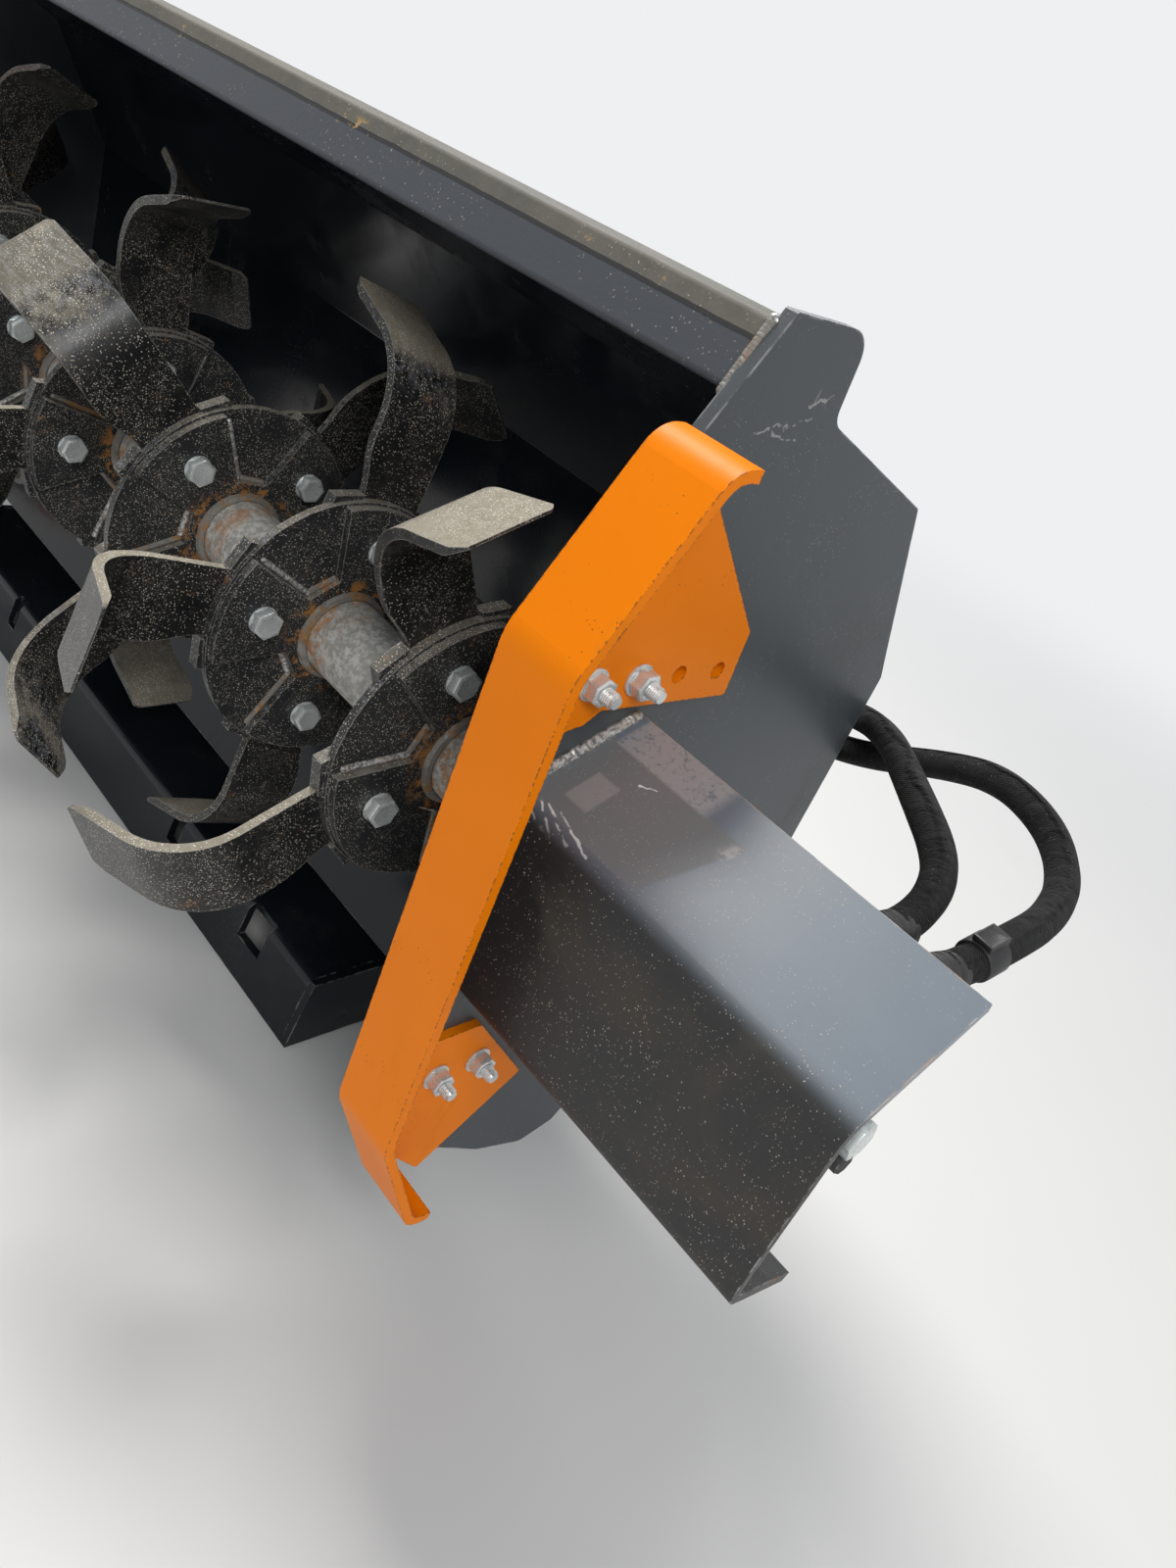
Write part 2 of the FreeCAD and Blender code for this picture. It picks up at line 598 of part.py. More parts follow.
# Rotor tube with its end caps and stub shafts, one weldment.
tube_half = inner_x - d.plate_clearance
cap_t = 12.0
shaft_reach_drive = plate_x + d.motor_flange_t - 1.0
shaft_reach_idle = plate_x + d.bearing_t + d.bearing_hub_len - 8.0
tube = round_bar(d.tube_dia, -tube_half, 2.0 * tube_half)
tube = tube.cut(round_bar(d.tube_bore, -tube_half + cap_t, 2.0 * (tube_half - cap_t)))
tube = tube.fuse(round_bar(d.shaft_dia, tube_half - cap_t, shaft_reach_drive - tube_half + cap_t))
tube = tube.fuse(round_bar(d.shaft_dia, -shaft_reach_idle, shaft_reach_idle - tube_half + cap_t))
solid_part("rotor_tube", tube.removeSplitter())

# Tine discs: a round plate, a notched spider plate on its drive side and keeper blocks
# beside each tine on its other side.
disc_r = d.disc_dia / 2.0
spider_r = disc_r - d.spider_step
sector = 360.0 / TINES_PER_DISC


def turned(u, v, angle):
    """A point of a disc's plane turned about the axis."""
    a = math.radians(angle)
    return (u * math.cos(a) - v * math.sin(a), u * math.sin(a) + v * math.cos(a))


def rim_arc(radius, from_angle, to_angle):
    """An arc of the rim between two angles in degrees."""
    places = [Vector(*turned(radius, 0.0, a), 0) for a in (from_angle, (from_angle + to_angle) / 2, to_angle)]
    return Part.Arc(*places)


def spider_outline():
    """The notched plate: rim arcs over the bolts, wedge notches between them."""
    half_wide = math.degrees(math.asin(d.notch_wide / 2.0 / spider_r))
    edges = []
    for n in range(TINES_PER_DISC):
        bolt = n * sector
        notch = bolt + sector / 2.0
        start = bolt - sector / 2.0 + half_wide
        end = notch - half_wide
        edges.append(rim_arc(spider_r, start, end))
        rim_in = Vector(*turned(spider_r, 0.0, end), 0)
        rim_out = Vector(*turned(spider_r, 0.0, notch + half_wide), 0)
        low_in = Vector(*turned(d.notch_bottom, -d.notch_narrow / 2.0, notch), 0)
        low_out = Vector(*turned(d.notch_bottom, d.notch_narrow / 2.0, notch), 0)
        edges.append(Part.LineSegment(rim_in, low_in))
        edges.append(Part.LineSegment(low_in, low_out))
        edges.append(Part.LineSegment(low_out, rim_out))
    return edges


def keeper_outline():
    """Two blocks beside each tine, from inside the rim to just past it."""
    edges = []
    near = d.tine_w / 2.0 + d.keeper_gap
    low = disc_r - d.keeper_depth
    high = disc_r + d.keeper_proud - 4.0
    for n in range(TINES_PER_DISC):
        for side in (1.0, -1.0):
            us = [low, high, high - 8.0, low]
            vs = [near * side, near * side, (near + d.keeper_w) * side, (near + d.keeper_w) * side]
            corners = [turned(u, v, n * sector) for u, v in zip(us, vs)]
            edges += tangent_outline(corners if side > 0 else corners[::-1])
    return edges


bolt_places = [turned(d.bolt_circle_r, 0.0, n * sector) for n in range(TINES_PER_DISC)]
bolt_circles = [(u, v, "dims.bolt_hole_dia") for u, v in bolt_places]
bore_circle = [(0.0, 0.0, "dims.tube_dia")]


def disc_x(number):
    """Middle of a disc's round plate, counted from the drive end."""
    return ((DISC_COUNT - 1) / 2.0 - number) * disc_pitch


def disc_angle(number):
    """Angle of a disc's first tine."""
    return d.first_tine - number * d.helix_step


def tine_disc(number):
    """One disc weldment."""
    label = f"tine_disc_{number + 1}"
    body = doc.addObject("PartDesign::Body", label)
    rim = add_sketch(body, label + "_rim", [], [(0.0, 0.0, "dims.disc_dia")] + bore_circle + bolt_circles)
    add_pad(body, rim, label + "_plate", "dims.disc_t", middle=True)
    spider = add_sketch(body, label + "_spider", spider_outline(), bore_circle + bolt_circles)
    add_pad(body, spider, label + "_spider_pad", "dims.spider_t + dims.disc_t / 2")
    keeper = add_sketch(body, label + "_keepers", keeper_outline())
    add_pad(body, keeper, label + "_keeper_pad", "dims.tine_t + dims.disc_t / 2", reverse=True)
    rotation = Rotation(Vector(1, 0, 0), disc_angle(number))
    body.Placement = Placement(centre + Vector(disc_x(number), 0, 0), rotation)
    return keep(body, label)


# Tines: a flat bar that bends sideways, cut to a blade that swells towards its rear edge.
# u runs out from the axis, v along the rim and w along the rotor, from the bar's middle.
def tine_bar():
    """The bent bar with its sharpened end, wider than the blade."""
    bend = math.radians(d.tine_bend_angle)
    corner = d.tine_bend_start + d.tine_bend_r * math.tan(bend / 2.0)
    reach_u = math.sqrt(d.swing_r ** 2 - (d.tine_w / 2.0) ** 2)
    leg = (reach_u - d.tine_t / 2.0 * math.sin(bend) - corner) / math.cos(bend)
    along = Vector(math.cos(bend), math.sin(bend), 0)
    inward = Vector(-math.sin(bend), math.cos(bend), 0)
    middle = Vector(corner, 0, 0) + along * leg
    tip = middle + inward * (d.tine_t / 2.0)
    # the path follows the bar's outer face; the thickness lies to its left
    outer_corner = corner + d.tine_t / 2.0 * math.tan(bend / 2.0)
    outer_tip = middle - inward * (d.tine_t / 2.0)
    path = [
        (d.tine_foot, -d.tine_t / 2.0),
        (outer_corner, -d.tine_t / 2.0, d.tine_bend_r + d.tine_t / 2.0),
        (outer_tip.x, outer_tip.y),
    ]
    wire = Part.Wire([edge.toShape() for edge in folded_outline(path, d.tine_t)])
    bevel_start = tip - along * d.tine_bevel
    bevel_end = tip - inward * (d.tine_t - d.tine_edge_t)
    bevel = Part.makePolygon([bevel_start, bevel_end, tip + along, tip + inward, bevel_start])
    spread = 2.0 * d.tine_w
    pieces = []
    for outline in (wire, bevel):
        piece = Part.Face(outline).extrude(Vector(0, 0, 2.0 * spread))
        piece.translate(Vector(0, 0, -spread))
        pieces.append(piece)
    bar = pieces[0].cut(pieces[1])
    bar.rotate(Vector(0, 0, 0), Vector(1, 0, 0), 90.0)
    return bar, middle.y


def prism(corners, depth):
    """A closed outline drawn in (u, v), as thick as depth to each side."""
    face = Part.Face(Part.Wire([edge.toShape() for edge in tangent_outline(corners)]))
    solid = face.extrude(Vector(0, 0, 2.0 * depth))
    solid.translate(Vector(0, 0, -depth))
    return solid


def tine():
    """One tine pointing along u and bent towards +w, with its bolt hole."""
    bar, tip_w = tine_bar()
    half = d.tine_w / 2.0
    rear = half + d.tine_flare
    front = half - d.tine_taper
    past = d.swing_r + d.tine_w
    plan = [
        (d.tine_foot, half - 1.0, 8.0),
        (d.tine_foot, -half, 8.0),
        (disc_r, -half, 200.0),
        (d.tine_bend_start + 25.0, -front, 200.0),
        (past, -front),
        (past, rear + 4.0),
        (d.tine_bend_start - 20.0, rear + 1.0, 80.0),
        (disc_r + 4.0, half - 1.0, 60.0),
    ]
    blade = bar.common(prism(plan, past))
    # the blade's end, seen along u
    end = [
        (-d.tine_w, -rear - 5.0),
        (tip_w * 0.4, -front, 60.0),
        (tip_w - 4.0, -front - 2.0, 14.0),
        (tip_w + 3.0, -front + 16.0, 30.0),
        (tip_w + 3.0, rear - 6.0, 12.0),
        (tip_w - 14.0, rear + 4.0, 20.0),
        (tip_w * 0.4, rear + 2.0, 60.0),
        (-d.tine_w, rear + 5.0),
    ]
    end_prism = prism(end, past)
    end_prism.rotate(Vector(0, 0, 0), Vector(0, 1, 0), -90.0)
    blade = blade.common(end_prism)
    hole = Part.makeCylinder(d.bolt_hole_dia / 2.0, 4.0 * d.tine_t, Vector(d.bolt_circle_r, 0, -2.0 * d.tine_t))
    return blade.cut(hole).Solids[0]


# u to +Y, along the rim to +Z, across the blade to +X
to_rotor = Rotation(Vector(0, 1, 0), Vector(0, 0, 1), Vector(1, 0, 0), "XYZ")
tine_to_drive = tine()
tine_to_drive.Placement = Placement(Vector(0, 0, 0), to_rotor).multiply(tine_to_drive.Placement)
tine_to_idle = tine_to_drive.mirror(Vector(0, 0, 0), Vector(1, 0, 0))


def tine_set(number):
    """The tines of one disc, bolted to its idle side and bent to alternate sides."""
    shank_x = disc_x(number) - (d.disc_t + d.tine_t) / 2.0
    solids = []
    for n in range(TINES_PER_DISC):
        pattern = tine_to_drive if (number + n) % 2 == 0 else tine_to_idle
        blade = pattern.copy()
        blade.rotate(Vector(0, 0, 0), Vector(1, 0, 0), disc_angle(number) + n * sector)
        blade.translate(centre + Vector(shank_x, 0, 0))
        solids.append(blade)
    return solid_part(f"tine_set_{number + 1}", Part.makeCompound(solids))


for number in range(DISC_COUNT):
    tine_disc(number)
for number in range(DISC_COUNT):
    tine_set(number)

# Hose guide: a bent bar on the hood's top face that both hoses pass through.
guide_x = plate_x - d.guide_inset
guide_out = crown + d.guide_rise
guide_low = -16.0
guide_high = 107.0
guide_points = [
    centre + Vector(guide_x, crown, guide_low),
    centre + Vector(guide_x, guide_out, guide_low),
    centre + Vector(guide_x, guide_out, guide_high),
    centre + Vector(guide_x, crown, guide_high),
]
guide_wire = tangent_wire(guide_points, [0.0, 24.0, 24.0, 0.0])
solid_part("hose_guide", tube_on(guide_wire, d.guide_bar_dia))

# Hoses: from the motor's elbows, over the side plate's edge, through the guide and down to
# lie on the coupling plate. Each point is a corner of the route, measured from the axis.
shelf = coupler_z + d.hose_dia / 2.0 + 1.0
quick_level = coupler_z + d.quick_dia / 2.0 + 0.5
HOSE_ROUTES = {
    "hose_pressure": [
        (1052.0, 100.0, 117.0),
        (1034.0, 128.0, 130.0),
        (985.0, 168.0, 137.0),
        (856.0, 358.0, 95.0),
        (780.0, 371.0, 70.0),
        (690.0, 384.0, 6.0),
        (632.0, 402.0, -96.0),
        (598.0, 424.0, -220.0),
        (540.0, 428.0, -334.0),
        (440.0, 424.0, quick_level),
        (320.0, 420.0, shelf + 0.6),
        (190.0, 430.0, shelf),
        (60.0, 420.0, shelf),
        (-60.0, 428.0, quick_level),
        (-140.0, 429.0, quick_level + 0.2),
    ],
    "hose_return": [
        (1105.0, 115.0, 115.0),
        (1104.0, 190.0, 113.0),
        (1088.0, 250.0, 120.0),
        (1048.0, 288.0, 134.0),
        (992.0, 304.0, 138.0),
        (935.0, 328.0, 110.0),
        (854.0, 357.0, 58.0),
        (780.0, 364.0, 34.0),
        (728.0, 382.0, -40.0),
        (700.0, 408.0, -150.0),
        (672.0, 436.0, -262.0),
        (610.0, 456.0, -350.0),
        (510.0, 460.0, quick_level),
        (390.0, 454.0, shelf + 0.6),
        (250.0, 462.0, shelf),
        (110.0, 454.0, shelf),
        (-20.0, 461.0, quick_level),
        (-100.0, 462.0, quick_level + 0.2),
    ],
}


def tangent_arc_radii(points):
    """A bend radius for each corner, from the shorter run beside it."""
    radii = [0.0]
    for i in range(1, len(points) - 1):
        before = points[i] - points[i - 1]
        after = points[i + 1] - points[i]
        turn = before.getAngle(after)
        radii.append(0.45 * min(before.Length, after.Length) / math.tan(turn / 2.0))
    radii.append(0.0)
    return radii


HOSE_LEAD = 33.0
for number, (label, route) in enumerate(HOSE_ROUTES.items(), start=1):
    mouth = Vector(PORTS[number - 1][0], 0, elbow_z) + elbow_outs[number - 1] * (d.elbow_reach + 0.3)
    lead = mouth + elbow_outs[number - 1] * HOSE_LEAD
    points = [centre + place for place in [mouth, lead] + [Vector(*place) for place in route]]
    radii = tangent_arc_radii(points)
    wire = tangent_wire(points, radii)
    hose = tube_on(wire, d.hose_dia)
    ideal = math.pi * (d.hose_dia / 2.0) ** 2 * wire.Length
    print(label, "length", round(wire.Length), "volume", round(hose.Volume / ideal, 4))
    print("  radii", [round(radius) for radius in radii[1:-1]])
    solid_part(label, hose)
    out = (points[-1] - points[-2]).normalize()
    quick = Part.makeCylinder(d.quick_dia / 2.0, d.quick_len * 0.6, points[-1] + out * 0.3, out)
    nose = Part.makeCylinder(d.quick_dia / 2.0 - 4.0, d.quick_len, points[-1] + out * 0.3, out)
    solid_part(f"quick_coupler_{number}", quick.fuse(nose).removeSplitter())

doc.recompute()
for item in doc.Objects:
    if "Invalid" in item.State or "Error" in item.State:
        raise RuntimeError(f"{item.Label} failed: {item.State}")
for item in subparts:
    if item.Shape.isNull() or not item.Shape.isValid():
        raise RuntimeError(f"{item.Label} has no valid shape")
for item in subparts:
    item.Shape.exportStep(f"parts/{item.Label}.step")
print(len(subparts), "sub-parts written")
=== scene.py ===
import math
import random

import bpy
from mathutils import Matrix, Vector


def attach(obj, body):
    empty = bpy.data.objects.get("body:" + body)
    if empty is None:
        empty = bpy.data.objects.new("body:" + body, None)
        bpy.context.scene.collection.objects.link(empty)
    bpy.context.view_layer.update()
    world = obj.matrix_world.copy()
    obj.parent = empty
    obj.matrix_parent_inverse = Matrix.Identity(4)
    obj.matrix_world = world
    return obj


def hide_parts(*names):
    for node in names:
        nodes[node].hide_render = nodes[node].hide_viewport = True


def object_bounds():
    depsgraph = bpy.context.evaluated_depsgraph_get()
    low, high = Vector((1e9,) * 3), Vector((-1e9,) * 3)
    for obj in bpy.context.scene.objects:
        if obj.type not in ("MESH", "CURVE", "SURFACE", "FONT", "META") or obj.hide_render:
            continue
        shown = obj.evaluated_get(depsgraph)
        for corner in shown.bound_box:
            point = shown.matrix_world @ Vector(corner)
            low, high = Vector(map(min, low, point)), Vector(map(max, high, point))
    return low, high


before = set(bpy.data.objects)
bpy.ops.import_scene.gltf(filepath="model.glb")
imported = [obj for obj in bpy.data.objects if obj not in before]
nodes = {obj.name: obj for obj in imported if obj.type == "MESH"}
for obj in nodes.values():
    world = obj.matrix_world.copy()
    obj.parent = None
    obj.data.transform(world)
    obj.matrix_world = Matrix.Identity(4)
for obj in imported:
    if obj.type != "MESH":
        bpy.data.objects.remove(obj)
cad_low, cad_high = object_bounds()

# Lengths are in metres and angles in degrees, in the frame's own axes.
AXIS = Vector((0.0, -0.259, 0.4055))       # the rotor's axis
FLOOR = cad_low.z
PLATE = 0.838                              # outer faces of the side plates
SHOE_SHEET = 0.008                         # what stands on those faces: the shoes' sheet,
MOTOR_FLANGE = 0.018                       # the motor's flange
BEARING_FLANGE = 0.016                     # and the idle bearing's
DISCS = 8
DISC_PITCH = 0.196
DISC_FACE = 0.698                          # first disc's face with the bolt heads
BOLT_CIRCLE = 0.086
HELIX = 37.5                               # each disc's turn from the last
FIRST_TINE = 115.0                         # the first tine's angle from +Y
TINES = 4
TUBE_RADIUS = 0.038
random.seed(7)

# ---------------------------------------------------------------- camera
SENSOR_WIDTH = 36.0                        # mm
LENS = 25.58                               # mm
CAMERA_PLACE = (1.238, -0.849, 0.8705)
CAMERA_RIGHT = Vector((0.63873, 0.68711, 0.34627))
CAMERA_UP = Vector((-0.58179, 0.13679, 0.80175))

camera_data = bpy.data.cameras.new("camera")
camera_data.sensor_width = SENSOR_WIDTH
camera_data.lens = LENS
camera_data.clip_start = 0.02
camera_data.clip_end = 60.0
camera = bpy.data.objects.new("camera", camera_data)
bpy.context.scene.collection.objects.link(camera)
camera_back = CAMERA_RIGHT.cross(CAMERA_UP)
camera_turn = Matrix((CAMERA_RIGHT, CAMERA_UP, camera_back)).transposed().to_4x4()
camera.matrix_world = Matrix.Translation(CAMERA_PLACE) @ camera_turn
bpy.context.scene.camera = camera


# ---------------------------------------------------------------- materials as expressions
class Value:
    """A number, vector or colour of a material, for use in Python expressions."""

    def __init__(self, paint, socket):
        self.paint = paint
        self.socket = socket

    def math(self, operation, *others):
        return self.paint.node("ShaderNodeMath", {"operation": operation}, [self, *others])

    def __add__(self, other):
        return self.math("ADD", other)

    def __radd__(self, other):
        return self.math("ADD", other)

    def __sub__(self, other):
        return self.math("SUBTRACT", other)

    def __rsub__(self, other):
        return self.paint.node("ShaderNodeMath", {"operation": "SUBTRACT"}, [other, self])

    def __mul__(self, other):
        return self.math("MULTIPLY", other)

    def __rmul__(self, other):
        return self.math("MULTIPLY", other)

    def __truediv__(self, other):
        return self.math("DIVIDE", other)

    def most(self, other):
        return self.math("MAXIMUM", other)

    def least(self, other):
        return self.math("MINIMUM", other)

    def above(self, low, high):
        """0 below low, 1 above high, smooth between. With low above high it falls."""
        falls = low > high
        if falls:
            low, high = high, low
        eased = self.paint.node(
            "ShaderNodeMapRange",
            {"interpolation_type": "SMOOTHSTEP"},
            {"Value": self, "From Min": low, "From Max": high, "To Min": 0.0, "To Max": 1.0},
        )
        return 1.0 - eased if falls else eased

    def between(self, start, full, fading, end):
        """1 from full to fading and 0 beyond start and end, smooth between them."""
        return self.above(start, full) * self.above(end, fading)


class Nodes:
    """The node tree of a material or of the world."""

    def __init__(self, tree, output):
        self.tree = tree
        self.tree.nodes.clear()
        self.out = self.tree.nodes.new(output)

    def node(self, kind, settings=None, sockets=None, out=0):
        """Any node: its settings first, then the numbers or links of its sockets."""
        made = self.tree.nodes.new(kind)
        for key, setting in (settings or {}).items():
            setattr(made, key, setting)
        given = enumerate(sockets) if isinstance(sockets, list) else (sockets or {}).items()
        for key, content in given:
            if isinstance(content, Value):
                self.tree.links.new(content.socket, made.inputs[key])
            else:
                made.inputs[key].default_value = content
        return Value(self, made.outputs[out])

    def looked_at(self):
        """1 for what the camera sees, straight, in a gloss or through glass; 0 for light."""
        camera_ray, glossy_ray, passing_ray = (
            self.node("ShaderNodeLightPath", out=f"Is {ray} Ray")
            for ray in ("Camera", "Glossy", "Transmission"))
        return camera_ray.most(glossy_ray).most(passing_ray)

    def show(self, shader):
        self.tree.links.new(shader.socket, self.out.inputs[0])


class Finish(Nodes):
    """A painted, plated or woven surface made of nodes."""

    def __init__(self, name, **fixed):
        self.material = bpy.data.materials.new(name)
        self.material.use_nodes = True
        super().__init__(self.material.node_tree, "ShaderNodeOutputMaterial")
        self.shader = self.tree.nodes.new("ShaderNodeBsdfPrincipled")
        self.surface = Value(self, self.shader.outputs[0])
        self.show(self.surface)
        for socket, number in fixed.items():
            self.shader.inputs[socket.replace("_", " ")].default_value = number
        self.place = self.node("ShaderNodeTexCoord", out="Object")

    def axis(self, letter, source=None):
        """One coordinate of the object, in metres, or of another vector."""
        number = "XYZ".index(letter)
        return self.node("ShaderNodeSeparateXYZ", None, [source or self.place], out=number)

    def stretched(self, x, y, z):
        """The object's coordinates, scaled along each axis."""
        return self.node("ShaderNodeMapping", None, {"Vector": self.place, "Scale": (x, y, z)})

    def noise(self, scale, detail=3.0, rough=0.55, where=None, distortion=0.0):
        return self.node(
            "ShaderNodeTexNoise",
            None,
            {"Vector": where or self.place, "Scale": scale, "Detail": detail, "Roughness": rough,
             "Distortion": distortion},
        )

    def cells(self, scale):
        """Distance to the nearest cell's middle."""
        return self.node("ShaderNodeTexVoronoi", None, {"Vector": self.place, "Scale": scale})

    def specks(self, scale, size, cover, patch):
        """Dots of a size in cell widths, thinned out by a slow noise of the patch's scale."""
        dots = self.cells(scale).above(size, size * 0.55)
        spread = self.noise(patch, 2.0, 0.5).above(cover - 0.09, cover + 0.09)
        grain = self.noise(scale * 0.43, 1.0, 0.5).above(0.45, 0.6)
        return dots * (1.0 - spread) * grain

    def edges(self, radius, low=0.012, high=0.12):
        """1 along the sharp edges, 0 on the flats."""
        rounded = self.node("ShaderNodeBevel", {"samples": 4}, {"Radius": radius})
        flat = self.node("ShaderNodeNewGeometry", out="Normal")
        same = self.node("ShaderNodeVectorMath", {"operation": "DOT_PRODUCT"}, [rounded, flat],
                         out="Value")
        return (1.0 - same).above(low, high)

    def marks(self, across, along, strokes, width, wander):
        """Scratches between pairs of points of a face, thin and a little wavering."""
        sway = (self.noise(85.0, 2.0, 0.6) - 0.5) * wander
        across = across + sway
        along = along - sway
        total = None
        for start, end in strokes:
            run = (end[0] - start[0], end[1] - start[1])
            reach = run[0] ** 2 + run[1] ** 2
            u = across - start[0]
            v = along - start[1]
            share = ((u * run[0] + v * run[1]) / reach).most(0.0).least(1.0)
            off_u = u - share * run[0]
            off_v = v - share * run[1]
            gap = (off_u * off_u + off_v * off_v).math("SQRT")
            mark = gap.above(width, width * 0.4)
            total = mark if total is None else total.most(mark)
        return total

    def facing_up(self):
        """1 on faces that look up, as the part stands."""
        normal = self.node("ShaderNodeTexCoord", out="Normal")
        return self.axis("Z", normal).above(0.15, 0.9)

    def blend(self, amount, under, over):
        """One colour over another."""
        return self.node(
            "ShaderNodeMix",
            {"data_type": "RGBA"},
            {"Factor": amount, 6: self.tone(under), 7: self.tone(over)},
            out=2,
        )

    @staticmethod
    def tone(colour):
        return colour if isinstance(colour, Value) else (*colour, 1.0)

    def done(self, colour, roughness, relief=None, metallic=None, coat=None):
        """Links the shader's values. Relief is a height, its depth and the bump's strength."""
        values = {"Base Color": colour, "Roughness": roughness, "Metallic": metallic,
                  "Coat Weight": coat}
        if relief is not None:
            height, depth, strength = relief
            values["Normal"] = self.node(
                "ShaderNodeBump", None,
                {"Strength": strength, "Distance": depth, "Height": height})
        for socket, content in values.items():
            if isinstance(content, Value):
                self.tree.links.new(content.socket, self.shader.inputs[socket])
            elif content is not None:
                self.shader.inputs[socket].default_value = content
        return self.material


# ---------------------------------------------------------------- floor and light
BACKDROP = (0.86, 0.87, 0.88)
FADE_START = 1.3                           # the floor fades out between these distances
FADE_END = 4.2


def pale_floor():
    """A pale floor that fades into the backdrop away from the object, for what looks at it."""
    floor = Finish("pale_floor")
    mottle = floor.noise(1.4, 4.0)
    floor.done(floor.blend(mottle, (0.70, 0.695, 0.685), (0.75, 0.745, 0.735)), 0.85)
    away = floor.node("ShaderNodeVectorMath", {"operation": "LENGTH"}, [floor.place], out="Value")
    faded = away.above(FADE_START, FADE_END) * floor.looked_at()
    glow = floor.node("ShaderNodeEmission", None, {"Color": (*BACKDROP, 1.0), "Strength": 1.0})
    floor.show(floor.node("ShaderNodeMixShader", None, [faded, floor.surface, glow]))
    return floor.material


def studio_world():
    """Soft light from all round; what looks at the world sees the backdrop instead."""
    world = bpy.data.worlds.new("studio")
    world.use_nodes = True
    bpy.context.scene.world = world
    sky = Nodes(world.node_tree, "ShaderNodeOutputWorld")
    light = sky.node("ShaderNodeBackground", None,
                     {"Color": (0.86, 0.9, 0.95, 1.0), "Strength": 0.34})
    wall = sky.node("ShaderNodeBackground", None, {"Color": (*BACKDROP, 1.0), "Strength": 1.0})
    sky.show(sky.node("ShaderNodeMixShader", None, [sky.looked_at(), light, wall]))


def soft_light(name, place, target, size, power, colour):
    data = bpy.data.lights.new(name, "AREA")
    data.shape = "DISK"
    data.size = size
    data.energy = power
    data.color = colour
    lamp = bpy.data.objects.new(name, data)
    bpy.context.scene.collection.objects.link(lamp)
    lamp.location = place
    lamp.rotation_euler = (Vector(target) - Vector(place)).to_track_quat("-Z", "Y").to_euler()


def clear_selection():
    bpy.ops.object.select_all(action="DESELECT")
    bpy.context.view_layer.objects.active = None


def added(kind, finish, **sizes):
    """A primitive with a finish, as the active object and the only one selected."""
    clear_selection()
    getattr(bpy.ops.mesh, f"primitive_{kind}_add")(**sizes)
    made = bpy.context.object
    made.data.materials.append(finish)
    return made


floor = added("circle", pale_floor(), vertices=96, radius=9.0, fill_type="NGON",
              location=(0.2, -0.3, FLOOR - 0.001))
floor.name = "floor"

LAMPS = {   # place, what it points at, width, watts, colour
    "overhead": ((-0.9, 0.1, 3.4), (0.3, -0.2, 0.3), 1.5, 120.0, (1.0, 0.985, 0.96)),
    "front": ((3.0, -2.0, 2.6), (0.6, -0.3, 0.3), 1.3, 62.0, (1.0, 1.0, 1.0)),
    "rear": ((-2.4, 3.0, 2.2), (0.0, 0.0, 0.3), 1.8, 40.0, (0.94, 0.97, 1.0)),
}
for name, settings in LAMPS.items():
    soft_light(name, *settings)
studio_world()

# ---------------------------------------------------------------- finishes
DUST = (0.36, 0.29, 0.20)
RUST = (0.30, 0.115, 0.03)


def slate_paint():
    """Satin slate powder coat: dust smudges, rubbed edges, the side plate's scored neck."""
    paint = Finish("slate_paint", Coat_Roughness=0.3, Specular_IOR_Level=0.4)
    y = paint.axis("Y")
    z = paint.axis("Z")
    slow = paint.noise(5.0, 4.0, 0.6)
    smudge = paint.noise(9.0, 5.0, 0.65, paint.stretched(1.0, 1.0, 0.6)).above(0.50, 0.70)
    speck = paint.specks(420.0, 0.22, 0.5, 14.0)
    edge = paint.edges(0.0025) * paint.noise(60.0, 3.0).above(0.42, 0.6)
    neck = [((-0.266, 0.745), (-0.238, 0.756)), ((-0.240, 0.752), (-0.214, 0.760)),
            ((-0.226, 0.770), (-0.203, 0.777)), ((-0.222, 0.771), (-0.218, 0.786)),
            ((-0.250, 0.748), (-0.222, 0.745))]
    scored = paint.marks(y, z, neck, 0.0011, 0.012) * paint.noise(120.0, 2.0).above(0.4, 0.52)
    body = paint.blend(slow, (0.043, 0.051, 0.057), (0.062, 0.072, 0.080))
    dusty = paint.blend(smudge * 0.35, body, (0.125, 0.118, 0.10))
    specked = paint.blend(speck * 0.8, dusty, (0.36, 0.33, 0.28))
    worn = paint.blend(edge, specked, (0.34, 0.35, 0.35))
    cut = paint.blend(scored * 0.7, worn, (0.36, 0.36, 0.35))
    peel = paint.noise(260.0, 2.0) * 0.3 + paint.noise(38.0, 2.0) * 0.4
    rough = 0.42 + smudge * 0.2 + speck * 0.2 + slow * 0.06
    return paint.done(cut, rough, (peel, 0.0006, 0.3), coat=0.06)


